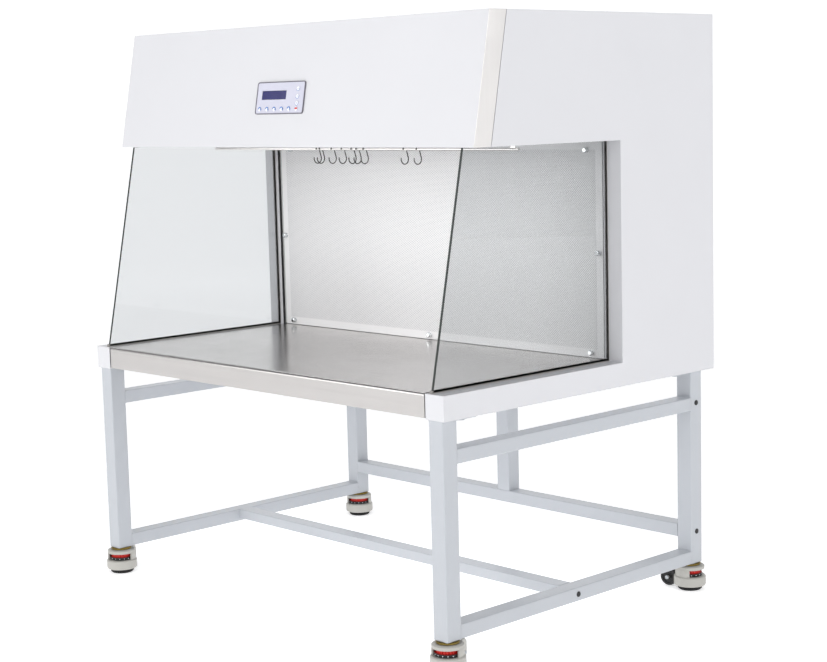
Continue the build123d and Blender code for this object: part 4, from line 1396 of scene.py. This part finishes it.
@dataclass
class Studio:
    """Floor, lights and camera."""

    palette: Palette
    camera_place: Point = (3.743, -3.485, 1.417)
    yaw: float = 46.371
    pitch: float = -7.452
    roll: float = -1.472
    focal_px: float = 1748.204
    sensor_mm: float = 36.0
    floor_half: float = 14.0
    floor_back: float = 9.0
    floor_bend: float = 3.0
    floor_top: float = 12.0
    horizon: str = "#e4e5e7"
    zenith: str = "#8a8b8e"
    zenith_height: float = 0.5  # share of the dome's height where the horizon's tone has gone
    dome_strength: float = 1.0
    lights: tuple[Softbox, ...] = (
        Softbox("key_softbox", (0.6, -5.5, 2.5), (0.0, 0.0, 0.9), (4.5, 3.0), 126),
        Softbox("side_softbox", (5.5, 0.5, 2.6), (0.0, 0.0, 0.9), (3.5, 3.0), 88),
        Softbox("left_softbox", (-4.9, -5.5, 2.9), (0.0, -0.5, 0.9), (2.0, 4.4), 62),
    )
    lamp_run: float = 0.22
    lamp_drop: float = 0.005
    lamp_aim: Flat = (0.47, 0.7)
    lamp_size: Flat = (1.3, 0.1)
    lamp_watts: float = 1.6

    def floor(self) -> None:
        """Adds a paper sweep: flat in front and curving up behind."""
        bend = self.floor_bend
        profile = [(-self.floor_half, 0.0)]
        profile += [(self.floor_back + u, v) for u, v in arc(bend, -90, 0, 12, (0.0, bend))]
        profile.append((self.floor_back + bend, self.floor_top))
        away = Vector((-sin(radians(self.yaw)), cos(radians(self.yaw)), 0.0))
        aside = Vector((away.y, -away.x, 0.0))
        bm = bmesh.new()
        rows = []
        for run, rise in profile:
            middle = run * away + Vector((0.0, 0.0, rise))
            rows.append([bm.verts.new(middle + side * self.floor_half * aside) for side in (-1, 1)])
        for near, far in zip(rows, rows[1:]):
            face = bm.faces.new((near[0], near[1], far[1], far[0]))
            face.smooth = True
        mesh = bpy.data.meshes.new("studio_floor")
        bm.to_mesh(mesh)
        bm.free()
        mesh.materials.append(self.palette.material("studio_paper"))
        sweep = bpy.data.objects.new("studio_floor", mesh)
        bpy.context.scene.collection.objects.link(sweep)

    def world(self) -> None:
        """Surrounds the bench with a dome that is pale at the horizon and greyer above."""
        world = bpy.data.worlds.new("studio_dome")
        bpy.context.scene.world = world
        world.use_nodes = True
        tree = world.node_tree
        tree.nodes.clear()
        way = add_node(tree, "ShaderNodeTexCoord").outputs["Generated"]
        height = add_node(tree, "ShaderNodeSeparateXYZ", None, {"Vector": way}).outputs["Z"]
        settings = {"From Min": 0.0, "From Max": self.zenith_height, "To Min": 0.0, "To Max": 1.0}
        share = add_node(tree, "ShaderNodeMapRange", settings, {"Value": height}).outputs["Result"]
        settings = {"data_type": "RGBA", 6: linear(self.horizon), 7: linear(self.zenith)}
        tone = add_node(tree, "ShaderNodeMix", settings, {0: share}).outputs[2]
        dome = add_node(tree, "ShaderNodeBackground", {"Strength": self.dome_strength}, {"Color": tone})
        add_node(tree, "ShaderNodeOutputWorld", None, {"Surface": dome.outputs[0]})

    def hood_lamp(self) -> Softbox:
        """Soft strip under the hood's ceiling, in the place of the work light.

        Returns:
            The light.
        """
        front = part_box("worktop")[0].y
        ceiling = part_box("hood_ceiling")[0].z
        place = (0.0, front + self.lamp_run, ceiling - self.lamp_drop)
        target = (0.0, front + self.lamp_aim[0], self.lamp_aim[1])
        return Softbox("hood_lamp", place, target, self.lamp_size, self.lamp_watts)

    def camera(self) -> None:
        """Sets the camera at the viewing angle."""
        yaw, pitch, roll = radians(self.yaw), radians(self.pitch), radians(self.roll)
        ahead = Vector((-sin(yaw) * cos(pitch), cos(yaw) * cos(pitch), sin(pitch)))
        right = Vector((cos(yaw), sin(yaw), 0.0))
        up = right.cross(ahead)
        turned_right = right * cos(roll) + up * sin(roll)
        turned_up = up * cos(roll) - right * sin(roll)
        turn = Matrix((turned_right, turned_up, -ahead)).transposed().to_4x4()
        data = bpy.data.cameras.new("studio_camera")
        data.sensor_width = self.sensor_mm
        data.lens = self.focal_px * self.sensor_mm / IMAGE_WIDTH
        eye = bpy.data.objects.new("studio_camera", data)
        eye.matrix_world = Matrix.Translation(Vector(self.camera_place)) @ turn
        bpy.context.scene.collection.objects.link(eye)
        bpy.context.scene.camera = eye

    def build(self) -> None:
        """Builds the studio."""
        self.floor()
        self.world()
        for light in (*self.lights, self.hood_lamp()):
            light.add()
        self.camera()
        bpy.context.scene.view_settings.view_transform = "Standard"


def main() -> None:
    """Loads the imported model, dresses it and sets up the studio."""
    logging.basicConfig(level=logging.INFO, format="%(name)s: %(message)s")
    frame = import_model()
    plate_low, plate_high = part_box("diffuser_plate")
    lamp_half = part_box("lamp_tube")[1].x
    uv_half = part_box("uv_tube")[1].x
    palette = Palette(tuple(plate_low), tuple(plate_high), lamp_half, uv_half)
    for assembly in (Stand, Casters, Cabinet, WorkZone, AirPath, ControlPanel):
        LOG.info("building %s", assembly.__name__)
        assembly(frame, palette).build()
    Studio(palette).build()


if __name__ == "__main__":
    main()
